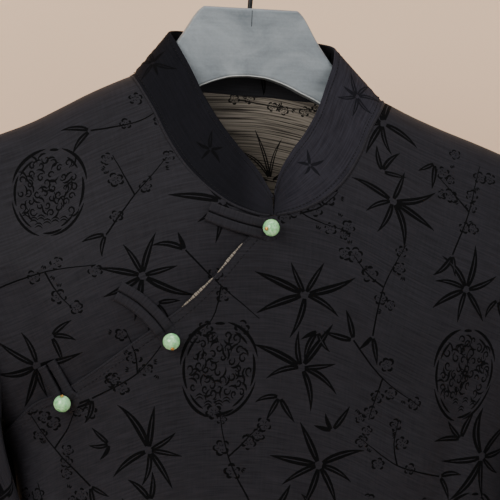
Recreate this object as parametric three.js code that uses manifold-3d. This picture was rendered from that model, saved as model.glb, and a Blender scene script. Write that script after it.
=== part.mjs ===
// A qipao top with a slanted placket, hanging on a plain hanger.
// Millimetres, +Z up. The front faces -Y, and the wearer's right is at -X, the left of a front view.
// The origin is the point of the hook that rests on a rod. The garment's own x is counted from its
// centre front, and it has slid a little along the hanger.

import * as THREE from 'three';
import { mergeVertices } from 'three/addons/utils/BufferGeometryUtils.js';
import Module from 'manifold-3d';

const wasm = await Module();
wasm.setup();

// Driving dimensions

const wall = 1.2; // thickness of the cloth
const seamGap = 0.35; // space between two pieces that are sewn together
const slide = 7; // how far the garment has slid along the hanger, towards +X
const hem = -690; // height of the lower edge
const shoulderRound = 13; // radius of the cloth where it turns over the hanger's arm
const armholeDepth = 195; // from the shoulder tip down to the underarm
const beadRadius = 5.35;
const beadLift = 8.3; // bead centre above the cloth
const pinRadius = 0.6;
const loopBand = 6.2; // width of one of a loop's two bands
const loopThickness = 2.4;
const flapLap = 25; // how far the small front runs on under the placket
const flapDip = 2.4; // how far it lies behind the big front there
const hookWire = 1.6; // radius of the hook's wire
const hookInside = 20; // inside radius of the hook's bow
const plateHalf = 6; // half the hanger's thickness
const hangerTop = -60;
const hangerEnd = 174; // half the hanger's length

// The shoulder line: height of the cloth along the shoulders, and across the neck as if it went on
const shoulderRows = [
  { x: -200, z: -163 },
  { x: -186, z: -157 },
  { x: -165, z: -148.7 },
  { x: -146, z: -140.6 },
  { x: -125, z: -129 },
  { x: -111, z: -121 },
  { x: -95, z: -113 },
  { x: -83.5, z: -107.8 },
  { x: -60, z: -98.8 },
  { x: -30, z: -93 },
  { x: 0, z: -91.9 },
  { x: 30, z: -95.8 },
  { x: 60, z: -105 },
  { x: 83.5, z: -116 },
  { x: 101, z: -124 },
  { x: 123, z: -132.5 },
  { x: 145, z: -140 },
  { x: 164, z: -147 },
  { x: 186, z: -156 },
  { x: 200, z: -162 },
];

// The body below the shoulder line: half widths on the wearer's right and left, where the top lies
// flatter, and fullness to the front and back
const bodyRows = [
  { down: 0, right: 255, left: 255, front: 0, back: 0 },
  { down: 40, right: 241, left: 241, front: 18, back: 9 },
  { down: 70, right: 229, left: 230, front: 32, back: 13 },
  { down: 100, right: 213, left: 216, front: 42, back: 17 },
  { down: 140, right: 190, left: 199, front: 47, back: 21 },
  { down: 170, right: 170, left: 185, front: 47.5, back: 22 },
  { down: 195, right: 157, left: 176, front: 47, back: 22 },
  { down: 214, right: 149, left: 174.5, front: 46, back: 22 },
  { down: 230, right: 146.5, left: 173.5, front: 45.2, back: 21.5 },
  { down: 245, right: 145, left: 172.5, front: 44, back: 21 },
  { down: 300, right: 143, left: 168, front: 41, back: 19 },
  { down: 355, right: 145, left: 167, front: 38, back: 18 },
  { down: 440, right: 152, left: 170, front: 38, back: 20 },
  { down: 545, right: 167, left: 178, front: 41, back: 23 },
  { down: 610, right: 177, left: 184, front: 43, back: 25 },
];

// The armholes: distance from the centre at each depth
const armholeRows = [
  { down: 0, right: 186, left: 186 },
  { down: 35, right: 178, left: 180 },
  { down: 80, right: 170, left: 176.5 },
  { down: 130, right: 163, left: 175 },
  { down: 165, right: 159, left: 175 },
  { down: 195, right: 157, left: 176 },
];

// The neck seam, from the side neck (0) to the centre (1) and a little past it
const frontNeckRows = [
  { along: 0, x: 83.5, down: 0 },
  { along: 0.12, x: 78.5, down: 11 },
  { along: 0.26, x: 71, down: 27 },
  { along: 0.42, x: 62.5, down: 48 },
  { along: 0.6, x: 49.5, down: 71 },
  { along: 0.76, x: 33.5, down: 88.5 },
  { along: 0.89, x: 16, down: 99 },
  { along: 1, x: 0, down: 103 },
  { along: 1.11, x: -16, down: 99 },
  { along: 1.24, x: -33.5, down: 88.5 },
];
const backNeckRows = [
  { along: 0, x: 83.5, down: 0 },
  { along: 0.15, x: 75, down: 8 },
  { along: 0.4, x: 56, down: 15 },
  { along: 0.7, x: 28, down: 21.5 },
  { along: 1, x: 0, down: 23.5 },
  { along: 1.3, x: -28, down: 21.5 },
];

// The placket's edge on the big front, from the neck to the armhole
const placketRows = [
  { x: -6, z: -203 },
  { x: -16, z: -215 },
  { x: -30.5, z: -233 },
  { x: -47, z: -250.5 },
  { x: -62, z: -263 },
  { x: -82, z: -278.5 },
  { x: -103, z: -295.5 },
  { x: -124, z: -311 },
  { x: -140, z: -320 },
];

// The collar's top edge, from the wearer's right front (-1) round the back (0) to the left front (1)
const collarRows = [
  { around: -1, x: 3, y: -57, z: -183 },
  { around: -0.94, x: -5.5, y: -49.5, z: -167 },
  { around: -0.87, x: -17, y: -41, z: -152 },
  { around: -0.79, x: -28.5, y: -32, z: -136 },
  { around: -0.7, x: -38, y: -22.5, z: -119.5 },
  { around: -0.62, x: -47, y: -15.5, z: -101 },
  { around: -0.55, x: -55.5, y: -8.5, z: -85.5 },
  { around: -0.5, x: -59.5, y: 0, z: -78 },
  { around: -0.4, x: -52, y: 12, z: -76 },
  { around: -0.2, x: -29, y: 18.5, z: -76 },
  { around: 0, x: 0, y: 20, z: -77 },
  { around: 0.2, x: 26, y: 18.5, z: -78 },
  { around: 0.4, x: 44, y: 12, z: -79.5 },
  { around: 0.5, x: 50.5, y: 0, z: -83 },
  { around: 0.56, x: 48.5, y: -9, z: -92 },
  { around: 0.63, x: 43, y: -16, z: -108 },
  { around: 0.71, x: 36, y: -27, z: -124.5 },
  { around: 0.79, x: 27, y: -36, z: -140 },
  { around: 0.87, x: 16.5, y: -43.5, z: -154 },
  { around: 0.94, x: 8.5, y: -51, z: -168 },
  { around: 1, x: 4.5, y: -57, z: -183 },
];

// Each sleeve's outer and inner edges, counted from the shoulder tip and the underarm
const sleeveRows = [
  { along: 0, rightOut: 186, leftOut: 186, outDown: 0, rightIn: 157, leftIn: 176, inDown: 0 },
  { along: 0.04, rightOut: 197, leftOut: 198, outDown: 7, rightIn: 156.5, leftIn: 177, inDown: 9 },
  { along: 0.1, rightOut: 210, leftOut: 212.5, outDown: 26, rightIn: 152, leftIn: 177.5, inDown: 22 },
  { along: 0.25, rightOut: 230, leftOut: 235, outDown: 88, rightIn: 141.5, leftIn: 176, inDown: 53 },
  { along: 0.5, rightOut: 250, leftOut: 258, outDown: 188, rightIn: 144.5, leftIn: 172.5, inDown: 105 },
  { along: 0.75, rightOut: 265, leftOut: 274, outDown: 286, rightIn: 149.5, leftIn: 171.5, inDown: 155 },
  { along: 1, rightOut: 276, leftOut: 286, outDown: 384, rightIn: 153.5, leftIn: 173.5, inDown: 204 },
];

// The sleeves' half depth, and how far the right one's inner edge hangs ahead of the body's side
const sleeveDepthRows = [
  { along: 0, depth: 25, rightAhead: 0 },
  { along: 0.04, depth: 25, rightAhead: 2 },
  { along: 0.1, depth: 24, rightAhead: 12 },
  { along: 0.25, depth: 21, rightAhead: 15 },
  { along: 0.5, depth: 18, rightAhead: 13 },
  { along: 0.75, depth: 16.5, rightAhead: 5 },
  { along: 1, depth: 15.5, rightAhead: 0 },
];

const foldStart = 20; // depth below the shoulder line at which folds begin
const foldFull = 60; // and at which they have their whole depth
const foldFade = 0.25; // share of a fold's length over which it begins or ends, either side of the end

// Soft folds of the front: troughs that run from one point to another, in the garment's own x
const frontFolds = [
  { x0: -158, z0: -240, x1: -138, z1: -300, width: 13, depth: 6 },
  { x0: -138, z0: -300, x1: -122, z1: -345, width: 12, depth: 8 },
  { x0: -122, z0: -345, x1: -114, z1: -420, width: 12, depth: 7 },
  { x0: -96, z0: -500, x1: -104, z1: -690, width: 17, depth: 6 },
  { x0: 156, z0: -250, x1: 136, z1: -310, width: 13, depth: 6 },
  { x0: 136, z0: -310, x1: 120, z1: -400, width: 13, depth: 7 },
  { x0: 88, z0: -520, x1: 98, z1: -690, width: 18, depth: 6 },
  { x0: -18, z0: -540, x1: -12, z1: -690, width: 20, depth: 4 },
];
const backFolds = [
  { x0: -140, z0: -260, x1: -118, z1: -400, width: 14, depth: 5 },
  { x0: 140, z0: -270, x1: 116, z1: -400, width: 14, depth: 5 },
  { x0: -60, z0: -470, x1: -72, z1: -690, width: 18, depth: 5 },
  { x0: 66, z0: -480, x1: 74, z1: -690, width: 18, depth: 5 },
];

// Hanger: top and lower edge at each distance from the hook
const hangerRows = [
  { x: 0, top: hangerTop, low: -104.3, corner: 2.5 },
  { x: 10, top: hangerTop, low: -105, corner: 2.5 },
  { x: 20, top: hangerTop, low: -107.5, corner: 2.5 },
  { x: 30, top: hangerTop, low: -111.5, corner: 2.5 },
  { x: 32.5, top: -61.5, low: -112.8, corner: 2.5 },
  { x: 45, top: -80.5, low: -118.5, corner: 3 },
  { x: 53.5, top: -92, low: -123.5, corner: 3.5 },
  { x: 62, top: -101.5, low: -128.5, corner: 4.5 },
  { x: 76.5, top: -110.8, low: -137, corner: 5 },
  { x: 90.5, top: -118.9, low: -145, corner: 5 },
  { x: 104, top: -125.2, low: -153, corner: 5 },
  { x: 118, top: -132.2, low: -160, corner: 5 },
  { x: 139, top: -143.8, low: -171, corner: 5 },
  { x: 158, top: -151.8, low: -180, corner: 5 },
  { x: 168, top: -156.5, low: -184, corner: 5 },
  { x: hangerEnd - 2, top: -160.5, low: -182, corner: 5 },
  { x: hangerEnd, top: -164, low: -178, corner: 4 },
];

// Buttons: the bead's place, the far end of its loop, the loop's bend and the way its pin's head points
const buttons = [
  { name: 'neck', bead: [1.5, -203.5], end: [-37, -193.5], bend: [-17, -201], head: [-0.62, 0.78, -0.12] },
  { name: 'chest', bead: [-57, -274.5], end: [-91, -245], bend: [-73, -252], head: [0.05, 0.7, -0.7] },
  { name: 'side', bead: [-118.5, -314.5], end: [-132, -292], bend: [-126, -301], head: [-0.1, 0.55, 0.8] },
];

// Colours

const clothLook = { color: 0x2b2a2f, roughness: 0.6, metalness: 0 };
const jadeLook = { color: 0x2d6f50, roughness: 0.3, metalness: 0 };
const goldLook = { color: 0xc9a04a, roughness: 0.35, metalness: 1 };
const hangerLook = { color: 0x80878b, roughness: 0.45, metalness: 0.2 };
const hookLook = { color: 0x1c1c1e, roughness: 0.4, metalness: 0.8 };

// A smooth curve through a table's rows that never overshoots them
function smoothTable(rows, key, value) {
  const xs = rows.map((row) => row[key]);
  const ys = rows.map((row) => row[value]);
  const last = xs.length - 1;
  const secants = xs.slice(1).map((x, i) => (ys[i + 1] - ys[i]) / (x - xs[i]));
  const slopes = xs.map((_, i) => {
    if (i === 0) return secants[0];
    if (i === last) return secants[last - 1];
    const product = secants[i - 1] * secants[i];
    return product > 0 ? (2 * product) / (secants[i - 1] + secants[i]) : 0;
  });
  return (x) => {
    if (x <= xs[0]) return ys[0];
    if (x >= xs[last]) return ys[last];
    const i = xs.findIndex((next) => next > x) - 1;
    const span = xs[i + 1] - xs[i];
    const t = (x - xs[i]) / span;
    const start = ys[i] + t * span * slopes[i];
    const bend = 3 * secants[i] - 2 * slopes[i] - slopes[i + 1];
    const twist = slopes[i] + slopes[i + 1] - 2 * secants[i];
    return start + span * (bend * t * t + twist * t * t * t);
  };
}

// The same for every column of a table, counted along its first
function smoothColumns(rows) {
  const [key, ...values] = Object.keys(rows[0]);
  return Object.fromEntries(values.map((value) => [value, smoothTable(rows, key, value)]));
}

const shoulderLine = smoothColumns(shoulderRows).z;
const body = smoothColumns(bodyRows);
const armhole = smoothColumns(armholeRows);

// Half width and armhole on the side of the body that x's sign tells: the wearer's left is positive
const halfWidth = (down, x) => (x > 0 ? body.left(down) : body.right(down));
const armholeX = (down, x) => (x > 0 ? armhole.left(down) : armhole.right(down));

const smoothStep = (low, high, value) => THREE.MathUtils.smoothstep(value, low, high);

// The run is the length of cloth from the shoulder line; it turns over the arm, then goes down
const quarterTurn = (shoulderRound * Math.PI) / 2;

function downOf(run) {
  const length = Math.abs(run);
  if (length > quarterTurn) return shoulderRound + length - quarterTurn;
  return shoulderRound * (1 - Math.cos(length / shoulderRound));
}

function runOf(down) {
  if (down > shoulderRound) return down - shoulderRound + quarterTurn;
  return shoulderRound * Math.acos(1 - Math.max(down, 0) / shoulderRound);
}

function turnOf(run) {
  const length = Math.min(Math.abs(run), quarterTurn);
  return Math.sign(run) * shoulderRound * Math.sin(length / shoulderRound);
}

function foldDepth(folds, x, z) {
  let depth = 0;
  for (const fold of folds) {
    const along = new THREE.Vector2(fold.x1 - fold.x0, fold.z1 - fold.z0);
    const length = along.length();
    const from = new THREE.Vector2(x - fold.x0, z - fold.z0);
    const part = from.dot(along) / length / length;
    const aside = from.cross(along) / length / fold.width;
    const ends = smoothStep(-foldFade, foldFade, part) * smoothStep(-1 - foldFade, foldFade - 1, -part);
    depth += fold.depth * ends * Math.exp(-aside * aside);
  }
  return depth;
}

// A point of the cloth: side is 'front' or 'back', turn goes round the body from +X (0) to -X (PI)
function clothPoint(side, turn, run) {
  const down = downOf(run);
  const x = halfWidth(down, Math.cos(turn)) * Math.cos(turn);
  const z = shoulderLine(x) - down;
  const folds = side === 'front' ? frontFolds : backFolds;
  const fold = foldDepth(folds, x, z) * smoothStep(foldStart, foldFull, down);
  const depth = turnOf(run) + Math.sign(run) * (body[side](down) - fold);
  const facing = side === 'front' ? -1 : 1;
  return new THREE.Vector3(x + slide, facing * (seamGap / 2 + depth * Math.sin(turn)), z);
}

function clothNormal(side, turn, run) {
  const step = 0.002; // of turn
  const stride = 0.05; // of run
  const across = clothPoint(side, turn + step, run).sub(clothPoint(side, turn - step, run));
  const down = clothPoint(side, turn, run + stride).sub(clothPoint(side, turn, run - stride));
  const normal = across.cross(down).normalize();
  return side === 'front' ? normal : normal.negate();
}

// The turn and run of the point at this x and z, and back again for a point on the front
function placeOf(x, z) {
  const down = shoulderLine(x) - z;
  return { turn: Math.acos(THREE.MathUtils.clamp(x / halfWidth(down, x), -1, 1)), run: runOf(down) };
}

function onFront(x, z) {
  const { turn, run } = placeOf(x, z);
  return { point: clothPoint('front', turn, run), normal: clothNormal('front', turn, run) };
}

// Edges of the panels, as lists of places

const underarmRun = runOf(armholeDepth);
const armholeRuns = [0, 6, 12, quarterTurn, 40, 62, 86, 110, 134, 156, 174, 190, underarmRun];
const sideSteps = 10;
const shoulderSteps = 9;
const placketSteps = 14;
const backNeckSteps = [0, 0.06, 0.16, 0.32, 0.54, 0.77];
const smallNeckSteps = [0, 0.04, 0.08, 0.14, 0.25, 0.36, 0.48, 0.6, 0.72, 0.86, 0.97, 1.03, 1.16];
const bigNeckSteps = [1.03, 0.97, 0.86, 0.72, 0.57, 0.42, 0.27, 0.14, 0.06, 0];

const steps = (count) => Array.from({ length: count + 1 }, (_, i) => i / count);

function armholePlace(sign, run) {
  const down = downOf(run);
  const cosine = Math.min(armholeX(down, sign) / halfWidth(down, sign), 1);
  return { turn: Math.acos(sign * cosine), run };
}

const frontNeck = smoothColumns(frontNeckRows);
const backNeck = smoothColumns(backNeckRows);

function neckPlace(neck, sign, along) {
  const down = neck.down(along);
  const x = sign * neck.x(along);
  return { turn: Math.acos(x / halfWidth(down, x)), run: runOf(down) };
}

function shoulderPlace(sign, part) {
  const x = THREE.MathUtils.lerp(armholeRows[0].right, frontNeckRows[0].x, part);
  return { turn: Math.acos((sign * x) / halfWidth(0, sign)), run: 0 };
}

// The hem's place at a turn, found from a first guess that each try brings closer
function hemPlace(turn) {
  const tries = 12;
  let down = -hem + shoulderLine(0);
  for (let i = 0; i < tries; i += 1) {
    down = shoulderLine(halfWidth(down, Math.cos(turn)) * Math.cos(turn)) - hem;
  }
  return { turn, run: runOf(down) };
}

// The side seam from the underarm to the hem, at the given parts of its length
function sideSeam(sign, parts) {
  const turn = sign > 0 ? 0 : Math.PI;
  const hemRun = hemPlace(turn).run;
  return parts.map((part) => ({ turn, run: THREE.MathUtils.lerp(underarmRun, hemRun, part) }));
}

// A side edge: armhole down to the underarm, then the side seam to the hem
function sideEdge(sign) {
  const armhole = armholeRuns.map((run) => armholePlace(sign, run));
  return [...armhole, ...sideSeam(sign, steps(sideSteps).slice(1))];
}

// The places inside a panel, blended from its four edges, which share their corners
function blendEdges(top, bottom, left, right, us, vs) {
  const blend = (key, i, j) => {
    const [u, v] = [us[i], vs[j]];
    const rows = (1 - v) * top[i][key] + v * bottom[i][key];
    const columns = (1 - u) * left[j][key] + u * right[j][key];
    const upper = (1 - u) * top[0][key] + u * top[top.length - 1][key];
    const lower = (1 - u) * bottom[0][key] + u * bottom[bottom.length - 1][key];
    return rows + columns - (1 - v) * upper - v * lower;
  };
  return vs.map((_, j) => us.map((_, i) => ({ turn: blend('turn', i, j), run: blend('run', i, j) })));
}

// Outer and inner points of a panel's wall, with the cloth moved out by offset(x, z)
function panelWall(side, places, offset = () => 0) {
  const outer = [];
  const inner = [];
  for (const row of places) {
    outer.push([]);
    inner.push([]);
    for (const { turn, run } of row) {
      const point = clothPoint(side, turn, run);
      const normal = clothNormal(side, turn, run);
      point.addScaledVector(normal, offset(point.x - slide, point.z));
      outer[outer.length - 1].push(point);
      inner[inner.length - 1].push(point.clone().addScaledVector(normal, -wall));
    }
  }
  return { outer, inner };
}

// A closed body from vertices and triangles, turned so that its faces point out
function solid(points, triangles) {
  let volume = 0;
  for (const [a, b, c] of triangles) {
    volume += points[a].dot(points[b].clone().cross(points[c]));
  }
  const ordered = volume < 0 ? triangles.map(([a, b, c]) => [a, c, b]) : triangles;
  const geometry = new THREE.BufferGeometry();
  const values = points.flatMap((point) => point.toArray());
  geometry.setAttribute('position', new THREE.Float32BufferAttribute(values, 3));
  geometry.setIndex(ordered.flat());
  return geometry;
}

// A wall between two grids of points; a ring's last column joins its first
function wallBetween({ outer, inner }, ring = false) {
  const rows = outer.length;
  const columns = outer[0].length;
  const points = [...outer.flat(), ...inner.flat()];
  const at = (layer, j, i) => layer * rows * columns + j * columns + (i % columns);
  const triangles = [];
  const quad = (a, b, c, d) => triangles.push([a, b, c], [a, c, d]);
  const spans = ring ? columns : columns - 1;
  for (let i = 0; i < spans; i += 1) {
    for (let j = 0; j < rows - 1; j += 1) {
      quad(at(0, j, i), at(0, j + 1, i), at(0, j + 1, i + 1), at(0, j, i + 1));
      quad(at(1, j, i), at(1, j, i + 1), at(1, j + 1, i + 1), at(1, j + 1, i));
    }
    quad(at(0, 0, i), at(0, 0, i + 1), at(1, 0, i + 1), at(1, 0, i));
    quad(at(0, rows - 1, i + 1), at(0, rows - 1, i), at(1, rows - 1, i), at(1, rows - 1, i + 1));
  }
  const last = columns - 1;
  for (let j = 0; j < rows - 1 && !ring; j += 1) {
    quad(at(0, j + 1, 0), at(0, j, 0), at(1, j, 0), at(1, j + 1, 0));
    quad(at(0, j, last), at(0, j + 1, last), at(1, j + 1, last), at(1, j, last));
  }
  return solid(points, triangles);
}

// A body swept through rings of points, closed at both ends
function sweepRings(rings) {
  const size = rings[0].length;
  const triangles = [];
  for (let k = 0; k < rings.length - 1; k += 1) {
    for (let i = 0; i < size; i += 1) {
      const [a, b] = [k * size + i, k * size + ((i + 1) % size)];
      triangles.push([a, b, b + size], [a, b + size, a + size]);
    }
  }
  const end = (rings.length - 1) * size;
  for (let i = 1; i < size - 1; i += 1) {
    triangles.push([0, i + 1, i], [end, end + i, end + i + 1]);
  }
  return solid(rings.flat(), triangles);
}

function toManifold(geometry) {
  const bare = geometry.clone();
  bare.deleteAttribute('normal');
  bare.deleteAttribute('uv');
  const merged = mergeVertices(bare, 1e-4);
  return new wasm.Manifold(new wasm.Mesh({
    numProp: 3,
    vertProperties: merged.attributes.position.array,
    triVerts: new Uint32Array(merged.index.array),
  }));
}

function fromManifold(manifold) {
  const mesh = manifold.getMesh();
  const geometry = new THREE.BufferGeometry();
  geometry.setAttribute('position', new THREE.Float32BufferAttribute(mesh.vertProperties, 3));
  geometry.setIndex([...mesh.triVerts]);
  return geometry;
}

// A round wire along a curve
function wire(points, radius, sides, length) {
  const curve = new THREE.CatmullRomCurve3(points);
  const round = new THREE.Shape(steps(sides).slice(0, sides).map((part) => {
    const angle = part * 2 * Math.PI;
    return new THREE.Vector2(radius * Math.cos(angle), radius * Math.sin(angle));
  }));
  return new THREE.ExtrudeGeometry(round, { steps: length, extrudePath: curve, bevelEnabled: false });
}

// Body panels

const placketNeck = neckPlace(frontNeck, -1, bigNeckSteps[0]);
const placketEnd = armholePlace(-1, underarmRun);

function flatPoint({ turn, run }) {
  const point = clothPoint('front', turn, run);
  return new THREE.Vector2(point.x - slide, point.z);
}

const placketCurve = new THREE.SplineCurve([
  flatPoint(placketNeck),
  ...placketRows.map(({ x, z }) => new THREE.Vector2(x, z)),
  flatPoint(placketEnd),
]);
const placketLine = placketCurve.getSpacedPoints(80);

// Distance from the placket's edge, positive under the big front
function insideFlap(x, z) {
  let best = Infinity;
  let signed = 0;
  for (let i = 1; i < placketLine.length; i += 1) {
    const along = placketLine[i].clone().sub(placketLine[i - 1]);
    const from = new THREE.Vector2(x, z).sub(placketLine[i - 1]);
    const part = THREE.MathUtils.clamp(from.dot(along) / along.lengthSq(), 0, 1);
    const distance = from.clone().sub(along.clone().multiplyScalar(part)).length();
    if (distance < best) {
      best = distance;
      signed = Math.sign(along.cross(from)) * distance;
    }
  }
  return signed;
}

// The placket's edge stands off a little between the buttons
const buttonGaps = [
  { x: -34, z: -237, reach: 20, lift: 2.2 },
  { x: -92, z: -287, reach: 18, lift: 1.4 },
];

const liftReach = 9; // how far from the edge the lift reaches

function edgeLift(x, z) {
  const near = Math.exp(-((insideFlap(x, z) / liftReach) ** 2));
  return buttonGaps.reduce((sum, gap) => {
    const away = Math.hypot(x - gap.x, z - gap.z) / gap.reach;
    return sum + gap.lift * near * Math.exp(-(away ** 4));
  }, 0);
}

// How the big front's hem is shared out below its placket and below its neck
const placketShare = 0.5;
const neckShare = 0.18;

function bigFront() {
  const placket = placketCurve.getSpacedPoints(placketSteps).reverse();
  const places = placket.slice(1, -1).map(({ x, y }) => placeOf(x, y));
  const neck = bigNeckSteps.map((along) => neckPlace(frontNeck, along > 1 ? -1 : 1, mirrorPast(along)));
  const shoulder = steps(shoulderSteps).slice(1).map((part) => shoulderPlace(1, 1 - part));
  const top = [placketEnd, ...places, ...neck, ...shoulder];
  const right = sideEdge(1);
  const vs = edgeParts(right);
  const left = sideSeam(-1, vs);
  const neckEnd = placketShare + neckShare;
  const us = [
    ...steps(placketSteps).map((part) => placketShare * part),
    ...steps(neck.length - 1).slice(1).map((part) => placketShare + neckShare * part),
    ...steps(shoulderSteps).slice(1).map((part) => neckEnd + (1 - neckEnd) * part),
  ];
  const bottom = us.map((u) => hemPlace(Math.PI * (1 - u)));
  const rows = blendEdges(top, bottom, left, right, us, vs);
  return panelWall('front', rows, edgeLift);
}

// Past the centre front the neck seam is counted on the other side
function mirrorPast(along) {
  return along > 1 ? 2 - along : along;
}

// How far down a side edge each of its rows lies, from 0 to 1
function edgeParts(edge) {
  const first = edge[0].run;
  const span = edge[edge.length - 1].run - first;
  return edge.map(({ run }) => (run - first) / span);
}

const lapParts = [0.2, 0.45, 0.7, 0.88]; // where along the placket the small front's edge is set
const lapTaper = 0.25; // last share of the placket, over which the lap narrows to nothing
const dipRange = [-18, -2]; // distances from the placket over which the small front dips behind

function smallFront() {
  const left = armholeRuns.map((run) => armholePlace(-1, run));
  const right = smallNeckSteps.map((along) => neckPlace(frontNeck, along > 1 ? 1 : -1, mirrorPast(along)));
  const top = steps(shoulderSteps).map((part) => shoulderPlace(-1, part));
  const lap = lapParts.map((part) => {
    const point = placketCurve.getPointAt(part);
    const along = placketCurve.getTangentAt(part);
    const reach = flapLap * Math.min(1, (1 - part) / lapTaper);
    return point.add(new THREE.Vector2(-along.y, along.x).multiplyScalar(reach));
  });
  const centre = flatPoint(right[right.length - 1]);
  const edge = new THREE.SplineCurve([flatPoint(placketEnd), ...lap.reverse(), centre]);
  const bottom = edge.getSpacedPoints(shoulderSteps).map(({ x, y }) => placeOf(x, y));
  const us = steps(shoulderSteps);
  const rows = blendEdges(top, bottom, left, right, us, edgeParts(left));
  const dip = (x, z) => -flapDip * smoothStep(...dipRange, insideFlap(x, z));
  return panelWall('front', rows, dip);
}

function backPanel() {
  const left = sideEdge(-1);
  const right = sideEdge(1);
  const shoulder = steps(shoulderSteps);
  const neck = [...backNeckSteps.slice(1), 1, ...backNeckSteps.slice(1).reverse()];
  const middle = backNeckSteps.length - 1;
  const top = [
    ...shoulder.map((part) => shoulderPlace(-1, part)),
    ...neck.map((along, i) => neckPlace(backNeck, i < middle ? -1 : 1, along)),
    ...shoulder.map((part) => shoulderPlace(1, 1 - part)),
  ];
  const us = top.map((_, i) => i / (top.length - 1));
  const bottom = us.map((u) => hemPlace(Math.PI * (1 - u)));
  return panelWall('back', blendEdges(top, bottom, left, right, us, edgeParts(right)));
}

// A panel's edge: its outer and inner points, the cloth's normal, and the way on past the edge
function edgeRing(side, places, insides) {
  const { outer, inner } = panelWall(side, places.map((place, i) => [place, insides[i]]));
  const last = outer.length - 1;
  return outer.map(([point, inside], i) => {
    const along = outer[Math.min(i + 1, last)][0].clone().sub(outer[Math.max(i - 1, 0)][0]).normalize();
    const onward = point.clone().sub(inside);
    onward.addScaledVector(along, -onward.dot(along)).normalize();
    const normal = point.clone().sub(inner[i][0]).normalize();
    return { point, inner: inner[i][0], normal, onward };
  });
}

function joinEdges(a, b) {
  const halfway = (key) => a[key].clone().lerp(b[key], 0.5);
  return {
    point: halfway('point'),
    inner: halfway('inner'),
    normal: halfway('normal').normalize(),
    onward: halfway('onward').normalize(),
    around: a.around,
  };
}

const seamLean = 0.05; // how much a sewn piece's first row leans out from the other's surface

// The wall of a piece that is sewn to an edge: rows of outer points, the first of which lies on the edge
function sewnWall(ring, rows, closed) {
  const last = ring.length - 1;
  const next = (i) => (closed ? (i + 1) % ring.length : Math.min(i + 1, last));
  const previous = (i) => (closed ? (i + last) % ring.length : Math.max(i - 1, 0));
  const first = ring.map(({ point, onward, normal }, i) => {
    const along = ring[next(i)].point.clone().sub(ring[previous(i)].point).normalize();
    const way = rows[1][i].clone().sub(point);
    way.addScaledVector(along, -way.dot(along)).normalize();
    const apart = way.add(onward).addScaledVector(normal, seamLean).normalize();
    return point.clone().addScaledVector(apart, seamGap);
  });
  const outer = [first, ...rows.slice(1)];
  const end = outer.length - 1;
  const inner = outer.map((row, j) => row.map((point, i) => {
    const around = row[next(i)].clone().sub(row[previous(i)]);
    const down = outer[Math.min(j + 1, end)][i].clone().sub(outer[Math.max(j - 1, 0)][i]);
    const inward = around.cross(down).normalize().multiplyScalar(wall);
    if (closed > 0) inward.negate();
    const { inner: edge, normal, onward } = ring[i];
    const bendsIn = j === 0 && inward.dot(onward) < 0 && inward.dot(normal) < 0;
    return bendsIn ? edge.clone().addScaledVector(onward, seamGap) : point.clone().add(inward);
  }));
  return { outer, inner };
}

const besideTurn = 0.02; // a step of turn and of run back from an edge, which tells the way past it
const besideRun = 2;

// The armhole's edge, from the tip over the front to the underarm, and over the back up again
function armholeRing(sign) {
  const places = armholeRuns.map((run) => armholePlace(sign, run));
  const insides = places.map(({ turn, run }) => {
    return { turn: turn + sign * besideTurn, run: run + besideRun };
  });
  const front = edgeRing('front', places, insides);
  const back = edgeRing('back', places, insides);
  const last = front.length - 1;
  return [
    joinEdges(front[0], back[0]),
    ...front.slice(1, last),
    joinEdges(front[last], back[last]),
    ...back.slice(1, last).reverse(),
  ];
}

const sleeve = { ...smoothColumns(sleeveRows), ...smoothColumns(sleeveDepthRows) };
const capBlend = 0.3; // share of the sleeve over which the armhole's form fades
const sleeveForward = 4; // how far the sleeve's head lies to the front
const creases = { depth: 1.6, along: 7, around: 2, start: 0.1, full: 0.3 };
const sleeveSteps = [0, 0.025, 0.06, 0.11, 0.18, 0.26, 0.36, 0.46, 0.56, 0.66, 0.77, 0.89, 1];

function sleeveWall(sign) {
  const side = sign > 0 ? 'left' : 'right';
  const ring = armholeRing(sign);
  const count = ring.length / 2;
  const tip = shoulderLine(sign * armholeRows[0].right);
  const pit = shoulderLine(sign * armholeX(armholeDepth, sign)) - armholeDepth;
  const half = armholeRuns.map((run) => Math.acos(1 - (2 * run) / underarmRun) / Math.PI);
  const parts = [...half.slice(0, count), ...half.slice(1).reverse().map((part) => 2 - part)];
  const tube = (along, i) => {
    const outX = sign * sleeve[`${side}Out`](along) + slide;
    const inX = sign * sleeve[`${side}In`](along) + slide;
    const out = new THREE.Vector3(outX, 0, tip - sleeve.outDown(along));
    const ahead = sign > 0 ? 0 : sleeve.rightAhead(along);
    const inside = new THREE.Vector3(inX, -ahead, pit - sleeve.inDown(along));
    const even = THREE.MathUtils.lerp(parts[i], i / count, smoothStep(0, capBlend, along));
    const angle = even * Math.PI;
    const middle = out.clone().lerp(inside, 0.5);
    const point = middle.addScaledVector(out.sub(inside), Math.cos(angle) / 2);
    const wave = Math.sin(creases.along * along + creases.around * angle);
    const crease = creases.depth * wave * smoothStep(creases.start, creases.full, along);
    point.y -= sleeveForward * (1 - along) + (sleeve.depth(along) + crease) * Math.sin(angle);
    return point;
  };
  const rows = sleeveSteps.map((along) => ring.map((edge, i) => {
    const away = edge.point.clone().sub(tube(0, i)).multiplyScalar(1 - smoothStep(0, capBlend, along));
    return tube(along, i).add(away);
  }));
  return sewnWall(ring, rows, sign);
}

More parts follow.
